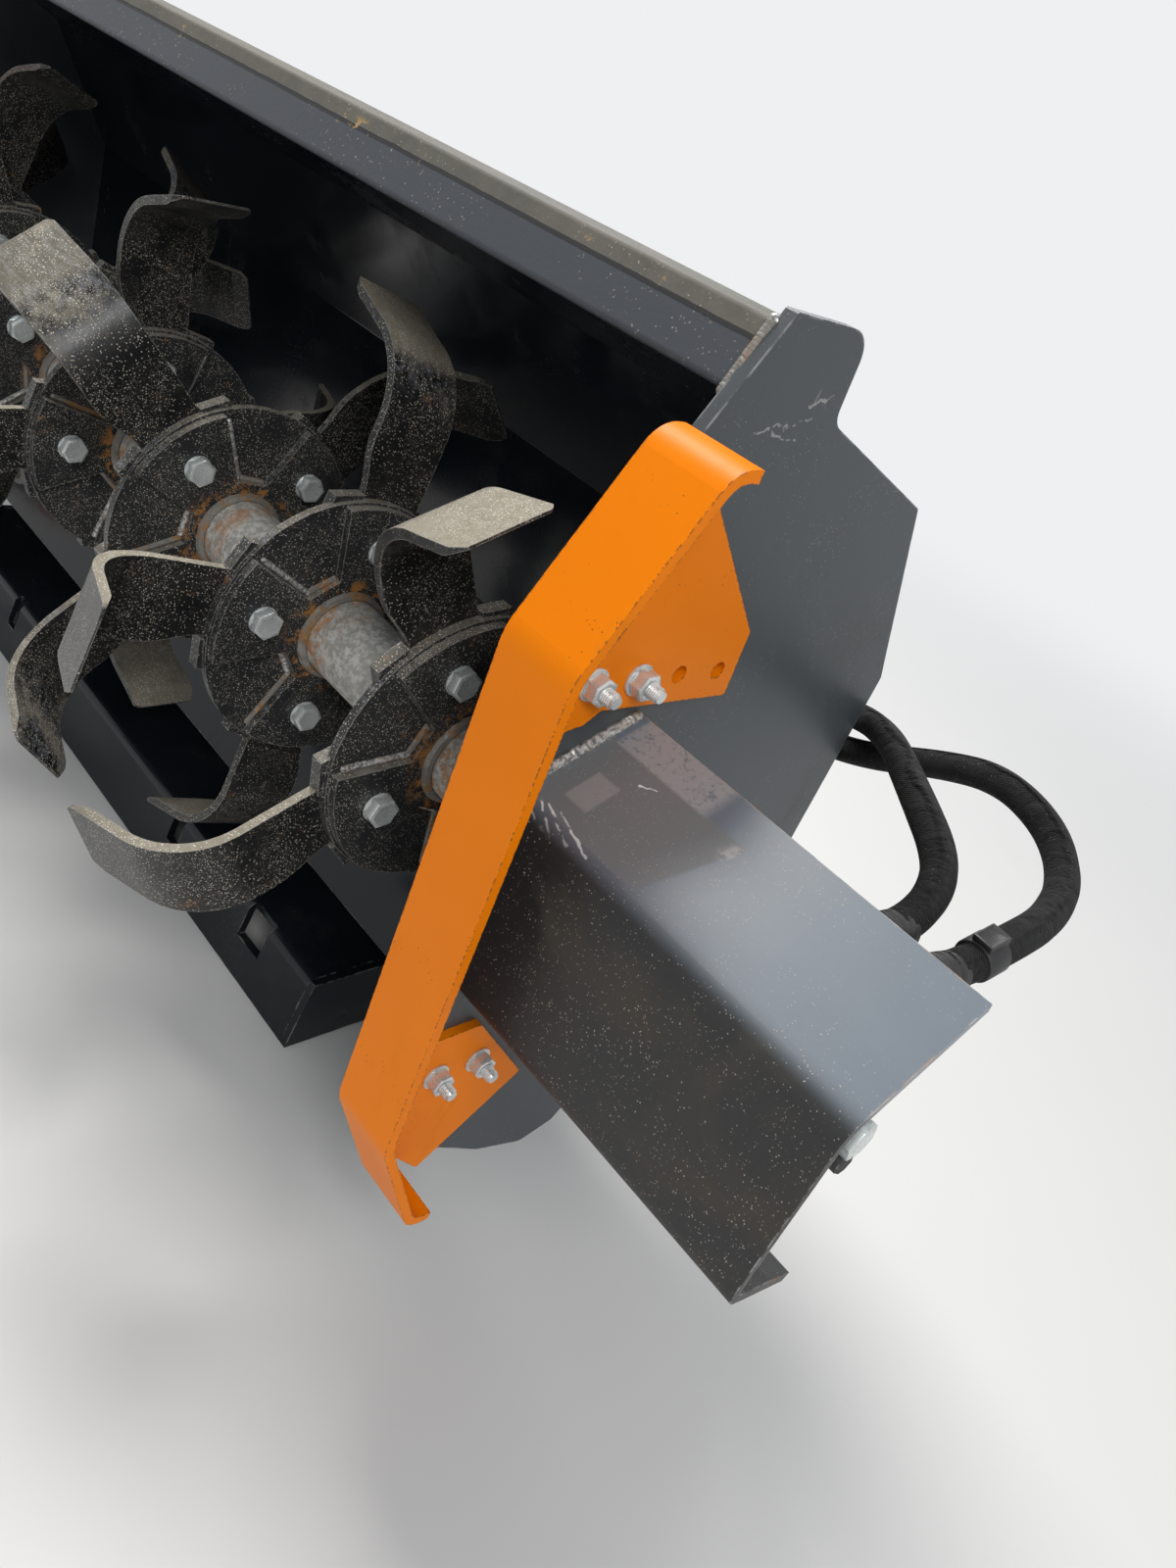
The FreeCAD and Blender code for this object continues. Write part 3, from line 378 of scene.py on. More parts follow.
def rail_paint():
    """The front rail: slate with pale specks below, a dusty top with a chipped seam along it."""
    paint = Finish("rail_paint", Specular_IOR_Level=0.3)
    z = paint.axis("Z")
    slow = paint.noise(4.0, 4.0, 0.6)
    patchy = paint.noise(30.0, 4.0, 0.75)
    speck = paint.specks(300.0, 0.24, 0.55, 10.0)
    edge = paint.edges(0.002) * paint.noise(48.0, 3.0).above(0.42, 0.6)
    height = z + (patchy - 0.5) * 0.002
    top = height.above(0.7955, 0.7970)
    seam = (height - 0.7962).math("ABSOLUTE").above(0.0022, 0.0010)
    chip = patchy.above(0.62, 0.65) * (z - 0.798).math("ABSOLUTE").above(0.007, 0.002)
    body = paint.blend(slow, (0.040, 0.045, 0.053), (0.058, 0.064, 0.074))
    dirt = paint.blend(patchy, (0.070, 0.066, 0.054), (0.185, 0.172, 0.135))
    dusty = paint.blend(top * (0.55 + slow * 0.4), body, dirt)
    specked = paint.blend(speck * 0.75, dusty, (0.38, 0.36, 0.32))
    worn = paint.blend(edge * 0.7, specked, (0.33, 0.33, 0.32))
    seamed = paint.blend(seam * 0.9, worn, (0.014, 0.014, 0.015))
    primer = paint.blend(slow, (0.30, 0.18, 0.06), (0.38, 0.28, 0.14))
    chipped = paint.blend(chip, seamed, primer)
    peel = paint.noise(240.0, 2.0) * 0.3 + patchy * 0.4 - chip * 0.6 + seam * 0.7
    rough = 0.44 + speck * 0.2 + top * 0.3 + slow * 0.06
    return paint.done(chipped, rough, (peel, 0.0008, 0.4))


def guard_paint():
    """The motor guard: an old label's film and scratches on its front flange, which carries a
    painted bluish sky sheen, and a web darkened by painted shade.
    """
    paint = Finish("guard_paint", Coat_Roughness=0.28, Specular_IOR_Level=0.4)
    x = paint.axis("X")
    y = paint.axis("Y")
    z = paint.axis("Z")
    front = z.above(AXIS.z + 0.080, AXIS.z + 0.092)
    slow = paint.noise(6.0, 4.0, 0.6)
    smear = paint.noise(9.0, 5.0, 0.6, paint.stretched(1.0, 1.4, 1.0), 0.6)
    brown = smear.above(0.45, 0.68) * (1.0 - front)
    speck = paint.specks(460.0, 0.22, 0.56, 12.0)
    dry = paint.specks(300.0, 0.19, 0.54, 9.0) * (1.0 - front)
    torn = paint.noise(190.0, 4.0, 0.75)
    # the label's place: a duller square with its outer edge askew, a torn film along the rear
    # edge, a small patch and a scuffed corner
    askew = x - (y + 0.346) * 0.33
    label = askew.above(0.9525, 0.9495) * y.between(-0.3535, -0.3505, -0.285, -0.282) * front
    film = (x.between(0.846, 0.850, 0.928, 0.940) * y.above(-0.2865, -0.2835)
            * torn.above(0.30, 0.50) * front)
    patch = (x.between(0.861, 0.863, 0.882, 0.885) * y.between(-0.338, -0.335, -0.311, -0.308)
             * torn.above(0.25, 0.45) * front)
    corner = (askew.between(0.940, 0.950, 0.951, 0.955)
              * y.between(-0.303, -0.294, -0.287, -0.283) * torn.above(0.36, 0.58) * front)
    scrapes = [((0.856, -0.350), (0.886, -0.364)), ((0.862, -0.348), (0.898, -0.361)),
               ((0.858, -0.358), (0.904, -0.370)), ((0.874, -0.348), (0.912, -0.357)),
               ((0.880, -0.371), (0.914, -0.364)), ((0.888, -0.298), (0.899, -0.293))]
    broken = paint.noise(90.0, 2.0).above(0.38, 0.5)
    scratched = paint.marks(x, y, scrapes, 0.0010, 0.008) * broken * front
    edge = paint.edges(0.0016) * paint.noise(75.0, 3.0).above(0.44, 0.6)
    # one paint, lit and shaded: the flange's light bluish grey is painted sky sheen, the web's
    # near-black is painted shade, and the label's square is set at the lit level too
    flange_painted_sheen = paint.blend(smear, (0.125, 0.152, 0.182), (0.165, 0.195, 0.228))
    web_painted_shade = paint.blend(slow, (0.014, 0.0145, 0.015), (0.024, 0.024, 0.024))
    body = paint.blend(front, web_painted_shade, flange_painted_sheen)
    square = paint.blend(slow, (0.145, 0.158, 0.166), (0.175, 0.188, 0.196))
    dull = paint.blend(label, body, square)
    dusty = paint.blend(brown * 0.42, dull, (0.080, 0.064, 0.045))
    specked = paint.blend((speck * 0.8).most(dry * 0.8), dusty, (0.48, 0.44, 0.36))
    glue = (film * 0.6).most(patch * 0.4).most(corner * 0.9)
    filmed = paint.blend(glue, specked, (0.40, 0.39, 0.39))
    scored = paint.blend(scratched * 0.9, filmed, (0.78, 0.79, 0.80))
    rim = paint.blend(slow.above(0.5, 0.56), (0.5, 0.5, 0.49), (0.50, 0.27, 0.11))
    chipped = paint.blend(edge, scored, rim)
    peel = torn * 0.3 + slow * 0.6 + film * 0.5 + corner * 0.5
    rough = (0.34 + (1.0 - front) * 0.14 + brown * 0.2 + speck * 0.2 + label * 0.16
             + film * 0.1)
    return paint.done(chipped, rough, (peel, 0.0006, 0.3), coat=0.15 * front)


def hood_paint():
    """Blue-black gloss inside the hood and on the coupling plate, with a film of dust."""
    paint = Finish("hood_paint", Coat_Roughness=0.1, Specular_IOR_Level=0.25)
    slow = paint.noise(4.0, 4.0, 0.6)
    film = paint.noise(8.0, 5.0, 0.65).above(0.5, 0.78)
    speck = paint.specks(450.0, 0.2, 0.36, 10.0)
    edge = paint.edges(0.0025) * paint.noise(55.0, 3.0).above(0.44, 0.6)
    body = paint.blend(slow, (0.006, 0.0075, 0.010), (0.012, 0.015, 0.020))
    dusty = paint.blend(film * 0.22, body, (0.070, 0.062, 0.050))
    specked = paint.blend(speck * 0.7, dusty, (0.28, 0.24, 0.18))
    worn = paint.blend(edge * 0.8, specked, (0.30, 0.28, 0.25))
    peel = paint.noise(200.0, 2.0) * 0.25 + paint.noise(26.0, 2.0) * 0.5
    rough = 0.17 + film * 0.24 + speck * 0.25
    return paint.done(worn, rough, (peel, 0.0007, 0.3), coat=0.08)


def orange_paint():
    """Bright orange coat on the skid shoes: flame-cut edges worn dark, scuffs, a few chips."""
    paint = Finish("orange_paint", Specular_IOR_Level=0.12)
    y = paint.axis("Y")
    z = paint.axis("Z")
    slow = paint.noise(7.0, 3.0)
    rub = paint.noise(14.0, 5.0, 0.7, paint.stretched(1.0, 1.0, 0.35)).above(0.58, 0.76)
    chips = paint.cells(260.0).above(0.13, 0.09) * paint.noise(22.0, 2.0).above(0.58, 0.64)
    edge = paint.edges(0.0022, 0.02, 0.12) * paint.noise(330.0, 2.0, 0.6).above(0.50, 0.56)
    drive_side = paint.axis("X").above(0.0, 0.1)
    scuff = (paint.marks(y, z, [((-0.401, 0.628), (-0.392, 0.650))], 0.0045, 0.006)
             * paint.noise(200.0, 3.0, 0.7).above(0.44, 0.54) * drive_side)
    body = paint.blend(slow, (0.80, 0.190, 0.0004), (0.92, 0.235, 0.0008))
    dull = paint.blend(rub * 0.25, body, (0.50, 0.17, 0.012))
    chipped = paint.blend(chips, dull, (0.06, 0.035, 0.02))
    worn = paint.blend(edge.most(scuff), chipped, (0.13, 0.060, 0.022))
    peel = paint.noise(260.0, 2.0) * 0.4 + slow * 0.3 - chips * 0.4 - edge * 0.5
    rough = 0.42 + rub * 0.2 + chips * 0.25
    return paint.done(worn, rough, (peel, 0.0005, 0.3))


def soil_black(name, dust_amount, rust_amount, shade=1.0):
    """Black soil-working steel: dried specks, rust round the hub, dust on what faces up, its
    colour painted brighter as if lit from above, and a painted bluish sky sheen in scour streaks
    on the upward faces.
    """
    steel = Finish(name, Specular_IOR_Level=0.3)
    away = steel.axis("Y") - AXIS.y
    rise = steel.axis("Z") - AXIS.z
    hub = (away * away + rise * rise).math("SQRT").above(0.066, 0.046)
    slow = steel.noise(16.0, 4.0, 0.65)
    fine = steel.noise(130.0, 3.0, 0.6)
    drops = steel.cells(380.0).above(0.25, 0.16) * slow.above(0.36, 0.48)
    small = steel.cells(700.0).above(0.27, 0.17) * steel.noise(26.0, 3.0).above(0.36, 0.54)
    up = steel.facing_up()
    lying = steel.noise(22.0, 5.0, 0.75).above(0.44, 0.64) * (0.03 + up * 0.7)
    film = lying.most(up.above(0.75, 1.0) * 0.75)
    edge = steel.edges(0.0015, 0.01, 0.1) * fine.above(0.36, 0.50)
    patchy = steel.noise(60.0, 5.0, 0.75)
    stray = patchy.above(0.60, 0.68) * slow.above(0.50, 0.62)
    rusty = stray.most(patchy.above(0.50, 0.60) * hub)
    dark = tuple(channel * shade for channel in (0.006, 0.0062, 0.007))
    light = tuple(channel * shade for channel in (0.014, 0.0145, 0.0155))
    body = steel.blend(slow, dark, light)
    # painted reflection: a bluish grey sky sheen laid in scour streaks on faces that look up,
    # partly real scratches
    streaks = steel.noise(1.0, 3.0, 0.7, steel.stretched(9.0, 150.0, 150.0))
    scour_streaks_and_sky_sheen = up.above(0.10, 0.75) * streaks.above(0.46, 0.60) * 0.5
    bare = steel.blend(scour_streaks_and_sky_sheen, body, (0.16, 0.17, 0.19))
    # the dust's sandy colour is partly painted light: made brighter so that upward faces look
    # sunlit
    dust_brightened_as_lit = steel.blend(fine, (0.27, 0.235, 0.17), (0.50, 0.45, 0.35))
    dusty = steel.blend(film * dust_amount, bare, dust_brightened_as_lit)
    spots = drops.most(small * 0.9) * (0.7 + up * 0.3)
    spotted = steel.blend(spots, dusty, (0.74, 0.69, 0.58))
    rubbed = steel.blend(edge * 0.6, spotted, (0.38, 0.37, 0.34))
    rust = steel.blend(fine, RUST, (0.50, 0.24, 0.06))
    rusted = steel.blend(rusty * rust_amount, rubbed, rust)
    relief = fine * 0.4 + drops * 0.8 + film * 0.5 + slow * 0.5
    rough = 0.30 + film * 0.45 + drops * 0.25 + rusty * 0.2
    return steel.done(rusted, rough.least(0.95), (relief, 0.0007, 0.5))


def tube_steel():
    """The rotor tube: mottled grey-brown scale, orange rust rings beside each disc."""
    steel = Finish("tube_scale")
    slow = steel.noise(20.0, 4.0, 0.7)
    fine = steel.noise(160.0, 4.0, 0.7)
    discs_along = (steel.axis("X") - DISC_FACE) / DISC_PITCH
    near = discs_along - discs_along.math("ROUND")
    ring = near.math("ABSOLUTE").above(0.26, 0.07)
    rusty = steel.noise(55.0, 5.0, 0.75).above(0.46, 0.62) * ring
    drops = steel.cells(300.0).above(0.3, 0.16) * steel.noise(150.0, 2.0).above(0.44, 0.58)
    body = steel.blend(slow, (0.17, 0.166, 0.153), (0.48, 0.47, 0.43))
    mottled = steel.blend(fine.above(0.44, 0.60) * 0.6, body, (0.68, 0.67, 0.63))
    rusted = steel.blend(rusty * 0.9, mottled, steel.blend(fine, RUST, (0.50, 0.24, 0.07)))
    spotted = steel.blend(drops * 0.6, rusted, DUST)
    relief = fine * 0.5 + drops * 0.6 + slow * 0.4
    return steel.done(spotted, 0.55 + rusty * 0.3, (relief, 0.0007, 0.5))


def weld_metal(name, bare):
    """A weld bead: bare and silvery, or browned beside the heat mark."""
    metal = Finish(name)
    fine = metal.noise(320.0, 3.0, 0.6)
    brown = metal.noise(45.0, 4.0, 0.7).above(0.48, 0.62)
    if bare:
        clean = metal.blend(fine.above(0.35, 0.65), (0.16, 0.16, 0.155), (0.60, 0.60, 0.58))
    else:
        clean = metal.blend(fine, (0.12, 0.115, 0.105), (0.30, 0.28, 0.25))
    rusted = metal.blend(fine, (0.16, 0.085, 0.035), (0.42, 0.22, 0.07))
    shown = metal.blend(brown * (0.3 if bare else 0.9), clean, rusted)
    return metal.done(shown, 0.4 + brown * 0.3, (fine, 0.0004, 0.5),
                      metallic=0.4 if bare else 0.15)


def zinc_plate(name, tint=(0.80, 0.84, 0.83)):
    """Zinc-plated fasteners with a little dirt in patches."""
    metal = Finish(name)
    cloud = metal.noise(70.0, 4.0, 0.6)
    dirt = metal.noise(130.0, 4.0, 0.7).above(0.54, 0.7)
    dim = tuple(channel * 0.66 for channel in tint)
    base = metal.blend(cloud, dim, tint)
    dirty = metal.blend(dirt * 0.55, base, (0.20, 0.17, 0.13))
    rough = 0.20 + cloud * 0.16 + dirt * 0.3
    return metal.done(dirty, rough, (cloud, 0.0003, 0.3), metallic=0.5 - dirt * 0.3)


def sleeve_weave():
    """Matte black woven hose sleeve: creased across, a folded seam along it, patches of dust."""
    cloth = Finish("woven_sleeve", Sheen_Weight=0.04, Sheen_Roughness=0.5,
                   Specular_IOR_Level=0.18)
    lay = cloth.node("ShaderNodeTexCoord", out="UV")
    along = cloth.axis("X", lay)
    around = cloth.axis("Y", lay)
    warp = (along * 3400.0).math("SINE")
    weft = (around * 2.0 * math.pi * 34.0).math("SINE")
    weave = warp * weft
    lengthways = cloth.node("ShaderNodeMapping", None, {"Vector": lay, "Scale": (46.0, 2.2, 1.0)})
    crease = cloth.noise(1.0, 3.0, 0.65, lengthways, 0.8)
    fold = cloth.noise(17.0, 3.0, 0.6, None, 0.5)
    seam = (around - 0.22 + (fold - 0.5) * 0.25).math("ABSOLUTE").above(0.085, 0.01)
    dust = cloth.noise(13.0, 5.0, 0.7).above(0.48, 0.72)
    lint = cloth.specks(300.0, 0.16, 0.55, 12.0)
    base = cloth.blend(weave.above(-0.6, 0.9), (0.006, 0.006, 0.0065), (0.014, 0.014, 0.015))
    ridge = cloth.blend(crease.above(0.5, 0.75) * 0.5, base, (0.028, 0.028, 0.029))
    worn = cloth.blend(dust * 0.3, ridge, (0.060, 0.057, 0.050))
    shown = cloth.blend(lint * 0.7, worn, (0.36, 0.33, 0.28))
    relief = weave * 0.06 + fold * 1.2 + crease * 1.6 + seam * 0.9
    return cloth.done(shown, 0.78 + dust * 0.12, (relief, 0.013, 1.0))


def strap_plastic():
    """Dull black strap and buckle plastic, greyed at its edges."""
    plastic = Finish("strap_plastic")
    grain = plastic.noise(400.0, 2.0)
    dust = plastic.noise(30.0, 4.0, 0.7).above(0.48, 0.7)
    base = plastic.blend(dust * 0.4, (0.014, 0.014, 0.015), (0.12, 0.11, 0.09))
    greyed = plastic.blend(plastic.edges(0.001) * 0.5, base, (0.10, 0.10, 0.10))
    return plastic.done(greyed, 0.5 + dust * 0.2, (grain, 0.0003, 0.4))


def cast_iron():
    """Black-painted cast motor body."""
    iron = Finish("motor_black")
    grain = iron.noise(240.0, 3.0, 0.6)
    slow = iron.noise(12.0, 4.0)
    dust = iron.noise(20.0, 5.0, 0.7).above(0.5, 0.7) * (0.3 + iron.facing_up() * 0.6)
    edge = iron.edges(0.002) * iron.noise(90.0, 3.0).above(0.46, 0.6)
    base = iron.blend(slow, (0.016, 0.016, 0.017), (0.034, 0.033, 0.032))
    dusty = iron.blend(dust * 0.6, base, (0.20, 0.17, 0.12))
    worn = iron.blend(edge, dusty, (0.30, 0.30, 0.29))
    return iron.done(worn, 0.48 + dust * 0.3, (grain + slow * 0.5, 0.0006, 0.4))


slate = slate_paint()
guard = guard_paint()
gloss = hood_paint()
orange = orange_paint()
tine_finish = soil_black("tine_black", 0.85, 0.35)
disc_finish = soil_black("disc_black", 0.45, 0.85, 2.2)
tube_finish = tube_steel()
weld_bright = weld_metal("weld_bright", True)
weld_brown = weld_metal("weld_brown", False)
zinc = zinc_plate("zinc")
yellow_zinc = zinc_plate("yellow_zinc", (0.56, 0.50, 0.34))
sleeve = sleeve_weave()
strap = strap_plastic()
rail = rail_paint()
iron = cast_iron()

FINISHES = {   # by how a node's name starts
    "side_plate": slate, "front_rail": rail, "motor_guard": guard, "hood_shell": gloss,
    "coupler": gloss, "hood_rib": gloss, "skid_shoe": orange, "shoe_bracket": orange,
    "motor_flange": iron, "hydraulic_motor": iron, "port_elbow": iron, "idle_bearing": iron,
    "rotor_tube": tube_finish, "tine_disc": disc_finish, "tine_set": tine_finish,
    "hose_guide": slate, "hose_": sleeve, "quick_coupler": zinc,
}
for name, node in nodes.items():
    finish = next(FINISHES[start] for start in FINISHES if name.startswith(start))
    node.data.materials.clear()
    node.data.materials.append(finish)

# ---------------------------------------------------------------- hoses
# The routes' corners from the rotor's axis; the first two are the nut's mouth and the
# straight lead out of it.
ROUTES = {
    "pressure": [
        (1.04926, 0.02984, 0.101), (1.05499, 0.06234, 0.101),
        (1.052, 0.100, 0.117), (1.034, 0.128, 0.130), (0.985, 0.168, 0.137),
        (0.856, 0.358, 0.095), (0.780, 0.371, 0.070), (0.690, 0.384, 0.006),
        (0.632, 0.402, -0.096), (0.598, 0.424, -0.220), (0.540, 0.428, -0.334),
        (0.440, 0.424, -0.3795), (0.320, 0.420, -0.3814), (0.190, 0.430, -0.382),
        (0.060, 0.420, -0.382), (-0.060, 0.428, -0.3795), (-0.140, 0.429, -0.3793),
    ],
    "return": [
        (1.08933, 0.02940, 0.101), (1.09731, 0.06142, 0.101),
        (1.105, 0.115, 0.115), (1.104, 0.190, 0.113), (1.088, 0.250, 0.120),
        (1.048, 0.288, 0.134), (0.992, 0.304, 0.138), (0.935, 0.328, 0.110),
        (0.854, 0.357, 0.058), (0.780, 0.364, 0.034), (0.728, 0.382, -0.040),
        (0.700, 0.408, -0.150), (0.672, 0.436, -0.262), (0.610, 0.456, -0.350),
        (0.510, 0.460, -0.3795), (0.390, 0.454, -0.3814), (0.250, 0.462, -0.382),
        (0.110, 0.454, -0.382), (-0.020, 0.461, -0.3795), (-0.100, 0.462, -0.3793),
    ],
}
HOSE_DIAMETER = 0.026


def hose(name, route):
    """One sleeved hose on a smooth line through its route."""
    line = bpy.data.curves.new(name, "CURVE")
    line.dimensions = "3D"
    line.bevel_depth = HOSE_DIAMETER / 2.0
    line.bevel_resolution = 6
    line.resolution_u = 16
    line.use_fill_caps = True
    spline = line.splines.new("NURBS")
    spline.points.add(len(route) - 1)
    for point, place in zip(spline.points, route):
        point.co = (*(Vector(place) + AXIS), 1.0)
    spline.order_u = 3
    spline.use_endpoint_u = True
    made = bpy.data.objects.new(name, line)
    bpy.context.scene.collection.objects.link(made)
    made.data.materials.append(sleeve)
    return made


for number, (name, route) in enumerate(ROUTES.items(), start=1):
    made = hose(f"sleeved_hose_{name}", route)
    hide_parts(f"hose_{name}")
    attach(made, "frame")


# ---------------------------------------------------------------- how small parts are made
def laid_along_x(kind, finish, x, **sizes):
    """A primitive whose axis lies on X, with its middle at x."""
    return added(kind, finish, rotation=(0.0, math.pi / 2.0, 0.0), location=(x, 0.0, 0.0), **sizes)


def bevelled(piece, width, segments=2):
    """The piece with its sharp edges rounded."""
    rounding = piece.modifiers.new("rounding", "BEVEL")
    rounding.width = width
    rounding.segments = segments
    rounding.limit_method = "ANGLE"
    rounding.angle_limit = math.radians(30.0)
    bpy.ops.object.modifier_apply(modifier="rounding")
    return piece


def repeated(piece, count, step):
    """The piece copied in a row along its own axis, as one mesh."""
    row = piece.modifiers.new("row", "ARRAY")
    row.count = count
    row.use_relative_offset = False
    row.use_constant_offset = True
    row.constant_offset_displace = (0.0, 0.0, step)
    bpy.ops.object.modifier_apply(modifier="row")


def scaled(piece, sizes):
    """The piece stretched along each of its axes, for good."""
    piece.scale = sizes
    bpy.ops.object.transform_apply(location=False, rotation=False, scale=True)


def pick_face(piece, direction):
    """Leaves the piece in edit mode, with only its largest face that way selected."""
    bpy.ops.object.mode_set(mode="EDIT")
    bpy.ops.mesh.select_all(action="DESELECT")
    bpy.ops.object.mode_set(mode="OBJECT")
    turn = piece.matrix_world.to_3x3()
    direction = Vector(direction)
    best = max(piece.data.polygons,
               key=lambda face: (turn @ face.normal).dot(direction) * face.area)
    best.select = True
    bpy.ops.object.mode_set(mode="EDIT")


def joined(name, pieces):
    """The pieces as one mesh with its object at the origin."""
    clear_selection()
    for piece in pieces:
        piece.select_set(True)
    bpy.context.view_layer.objects.active = pieces[0]
    if len(pieces) > 1:
        bpy.ops.object.join()
    whole = bpy.context.object
    whole.name = name
    bpy.ops.object.transform_apply(location=True, rotation=True, scale=True)
    return whole


def finished(name, pieces, body):
    """Joins a group of pieces, smooths their round faces and fixes them to a body."""
    whole = joined(name, pieces)
    bpy.ops.object.shade_smooth_by_angle(angle=math.radians(35.0))
    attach(whole, body)


def copied(pattern, matrix):
    """A copy of a pattern with its own mesh, placed by a matrix."""
    copy = pattern.copy()
    copy.data = pattern.data.copy()
    bpy.context.scene.collection.objects.link(copy)
    copy.matrix_world = matrix
    return copy


def aimed(pattern, place, direction):
    """A copy of a pattern that lies along +X, turned to a direction and moved to a place."""
    turn = direction.to_track_quat("X", "Z").to_matrix().to_4x4()
    return copied(pattern, Matrix.Translation(place) @ turn)


def around(radius, angle, x):
    """A place round the rotor's axis, at an angle from +Y."""
    turned = math.radians(angle)
    return Vector((x, AXIS.y + radius * math.cos(turned), AXIS.z + radius * math.sin(turned)))


def from_axis(x, y, z):
    return Vector((x, AXIS.y + y, AXIS.z + z))


# ---------------------------------------------------------------- bolts
THREAD_PITCH = 0.0018
NUT_WASHER = 0.0025
HEAD_WASHER = 0.0012


def hexagon(across, height, start, finish=zinc):
    """A hexagon head or nut from start along +X, its corners turned off, its face dished."""
    head = laid_along_x("cylinder", finish, start + height / 2.0, vertices=6,
                        radius=across / math.sqrt(3.0), depth=height)
    bevelled(head, across * 0.035)
    pick_face(head, (1.0, 0.0, 0.0))
    for inset, rise in ((0.07, 0.07), (0.06, -0.04)):
        bpy.ops.mesh.inset(thickness=across * inset)
        bpy.ops.transform.translate(value=(height * rise, 0.0, 0.0))
    bpy.ops.object.mode_set(mode="OBJECT")
    return head


def thread(diameter, start, length):
    """A threaded end from start along +X: a row of ridges and a pointed tip."""
    ridge = laid_along_x("cylinder", zinc, start + THREAD_PITCH / 2.0, vertices=20,
                         radius=diameter / 2.0, depth=THREAD_PITCH)
    bevelled(ridge, THREAD_PITCH * 0.42, 1)
    repeated(ridge, max(2, int(length / THREAD_PITCH)), THREAD_PITCH)
    tip = laid_along_x("cone", zinc, start + length, vertices=20, radius1=diameter * 0.46,
                       radius2=diameter * 0.38, depth=THREAD_PITCH * 1.2)
    return [ridge, tip]


def washer(diameter, thickness):
    """A washer from X = 0 along +X."""
    ring = laid_along_x("cylinder", zinc, thickness / 2.0, vertices=32, radius=diameter / 2.0,
                        depth=thickness)
    return bevelled(ring, thickness * 0.25)


def reversed_from(piece, x):
    """The piece turned to run along -X, its start moved from X = 0 to x."""
    piece.rotation_euler.y += math.pi
    piece.location.x = x - piece.location.x
    return piece


def bolt_pattern(name, across, head, grip, thread_past, outward_nut=False):
    """A bolt through a grip that ends at X = 0, its head or its nut on the +X side."""
    nut = across * 0.54
    diameter = across * 0.62
    if outward_nut:
        pieces = [washer(across * 1.3, NUT_WASHER), hexagon(across, nut, NUT_WASHER)]
        pieces += thread(diameter, NUT_WASHER + nut, thread_past)
        pieces.append(reversed_from(hexagon(across, head, 0.0), -grip))
    else:
        pieces = [washer(across * 1.12, HEAD_WASHER), hexagon(across, head, HEAD_WASHER)]
        pieces.append(reversed_from(hexagon(across, nut, 0.0), -grip))
        pieces += [reversed_from(part, -grip - nut) for part in thread(diameter, 0.0, thread_past)]
    return joined(name, pieces)


def bolted(pattern, place, mirrored=False):
    """A bolt at a place, its hexagon turned at random; mirrored faces it to -X."""
    face = Matrix.Rotation(math.pi, 4, "Z") if mirrored else Matrix.Identity(4)
    spin = Matrix.Rotation(math.radians(random.uniform(0.0, 60.0)), 4, "X")
    return copied(pattern, Matrix.Translation(place) @ face @ spin)


tine_bolt = bolt_pattern("tine_bolt", 0.024, head=0.010, grip=0.024, thread_past=0.006)
for disc in range(DISCS):
    face = DISC_FACE - disc * DISC_PITCH
    bolts = []
    for tine in range(TINES):
        angle = FIRST_TINE - disc * HELIX + tine * 360.0 / TINES
        bolts.append(bolted(tine_bolt, around(BOLT_CIRCLE, angle, face)))
    finished(f"tine_bolts_{disc + 1}", bolts, "rotor")
bpy.data.objects.remove(tine_bolt)

SHOE_BOLTS = [(-0.074, 0.172), (-0.030, 0.172), (-0.069, -0.200), (-0.025, -0.200)]
shoe_bolt = bolt_pattern("shoe_bolt", 0.019, head=0.008, grip=0.018, thread_past=0.010,
                         outward_nut=True)
for side, mirrored in (("drive", False), ("idle", True)):
    face = (PLATE + SHOE_SHEET) * (-1.0 if mirrored else 1.0)
    bolts = [bolted(shoe_bolt, from_axis(face, y, z), mirrored) for y, z in SHOE_BOLTS]
    finished(f"shoe_bolts_{side}", bolts, "frame")
bpy.data.objects.remove(shoe_bolt)

FLANGES = (("motor", PLATE + MOTOR_FLANGE, 0.056, False),
           ("bearing", -PLATE - BEARING_FLANGE, 0.052, True))
flange_bolt = bolt_pattern("flange_bolt", 0.024, head=0.010, grip=0.028, thread_past=0.004)
for name, face, spread, mirrored in FLANGES:
    bolts = [bolted(flange_bolt, from_axis(face, y * spread, z * spread), mirrored)
             for y in (-1.0, 1.0) for z in (-1.0, 1.0)]
    finished(f"{name}_bolts", bolts, "frame")
bpy.data.objects.remove(flange_bolt)


# ---------------------------------------------------------------- welds
def uneven(amount):
    """The active mesh's points moved a little at random; it is in edit mode."""
    bpy.ops.mesh.select_all(action="SELECT")
    bpy.ops.transform.vertex_random(offset=amount, seed=random.randint(0, 999))
    bpy.ops.object.mode_set(mode="OBJECT")


def weld_run(start, end, radius, finish):
    """A weld bead between two places: overlapping flattened drops, a little uneven."""
    run = end - start
    pitch = radius * 0.72
    bead = added("uv_sphere", finish, segments=8, ring_count=5, radius=radius)
    scaled(bead, (1.0, 1.0, 0.9))
    repeated(bead, max(2, int(run.length / pitch)), pitch)
    bpy.ops.object.mode_set(mode="EDIT")
    uneven(radius * 0.08)
    bead.rotation_euler = run.to_track_quat("Z", "Y").to_euler()
    bead.location = start
    return bead


def weld_across(x, start, end, radius, finish):
    """A weld bead at one X, between two (Y, Z) places from the rotor's axis."""
    return weld_run(from_axis(x, *start), from_axis(x, *end), radius, finish)


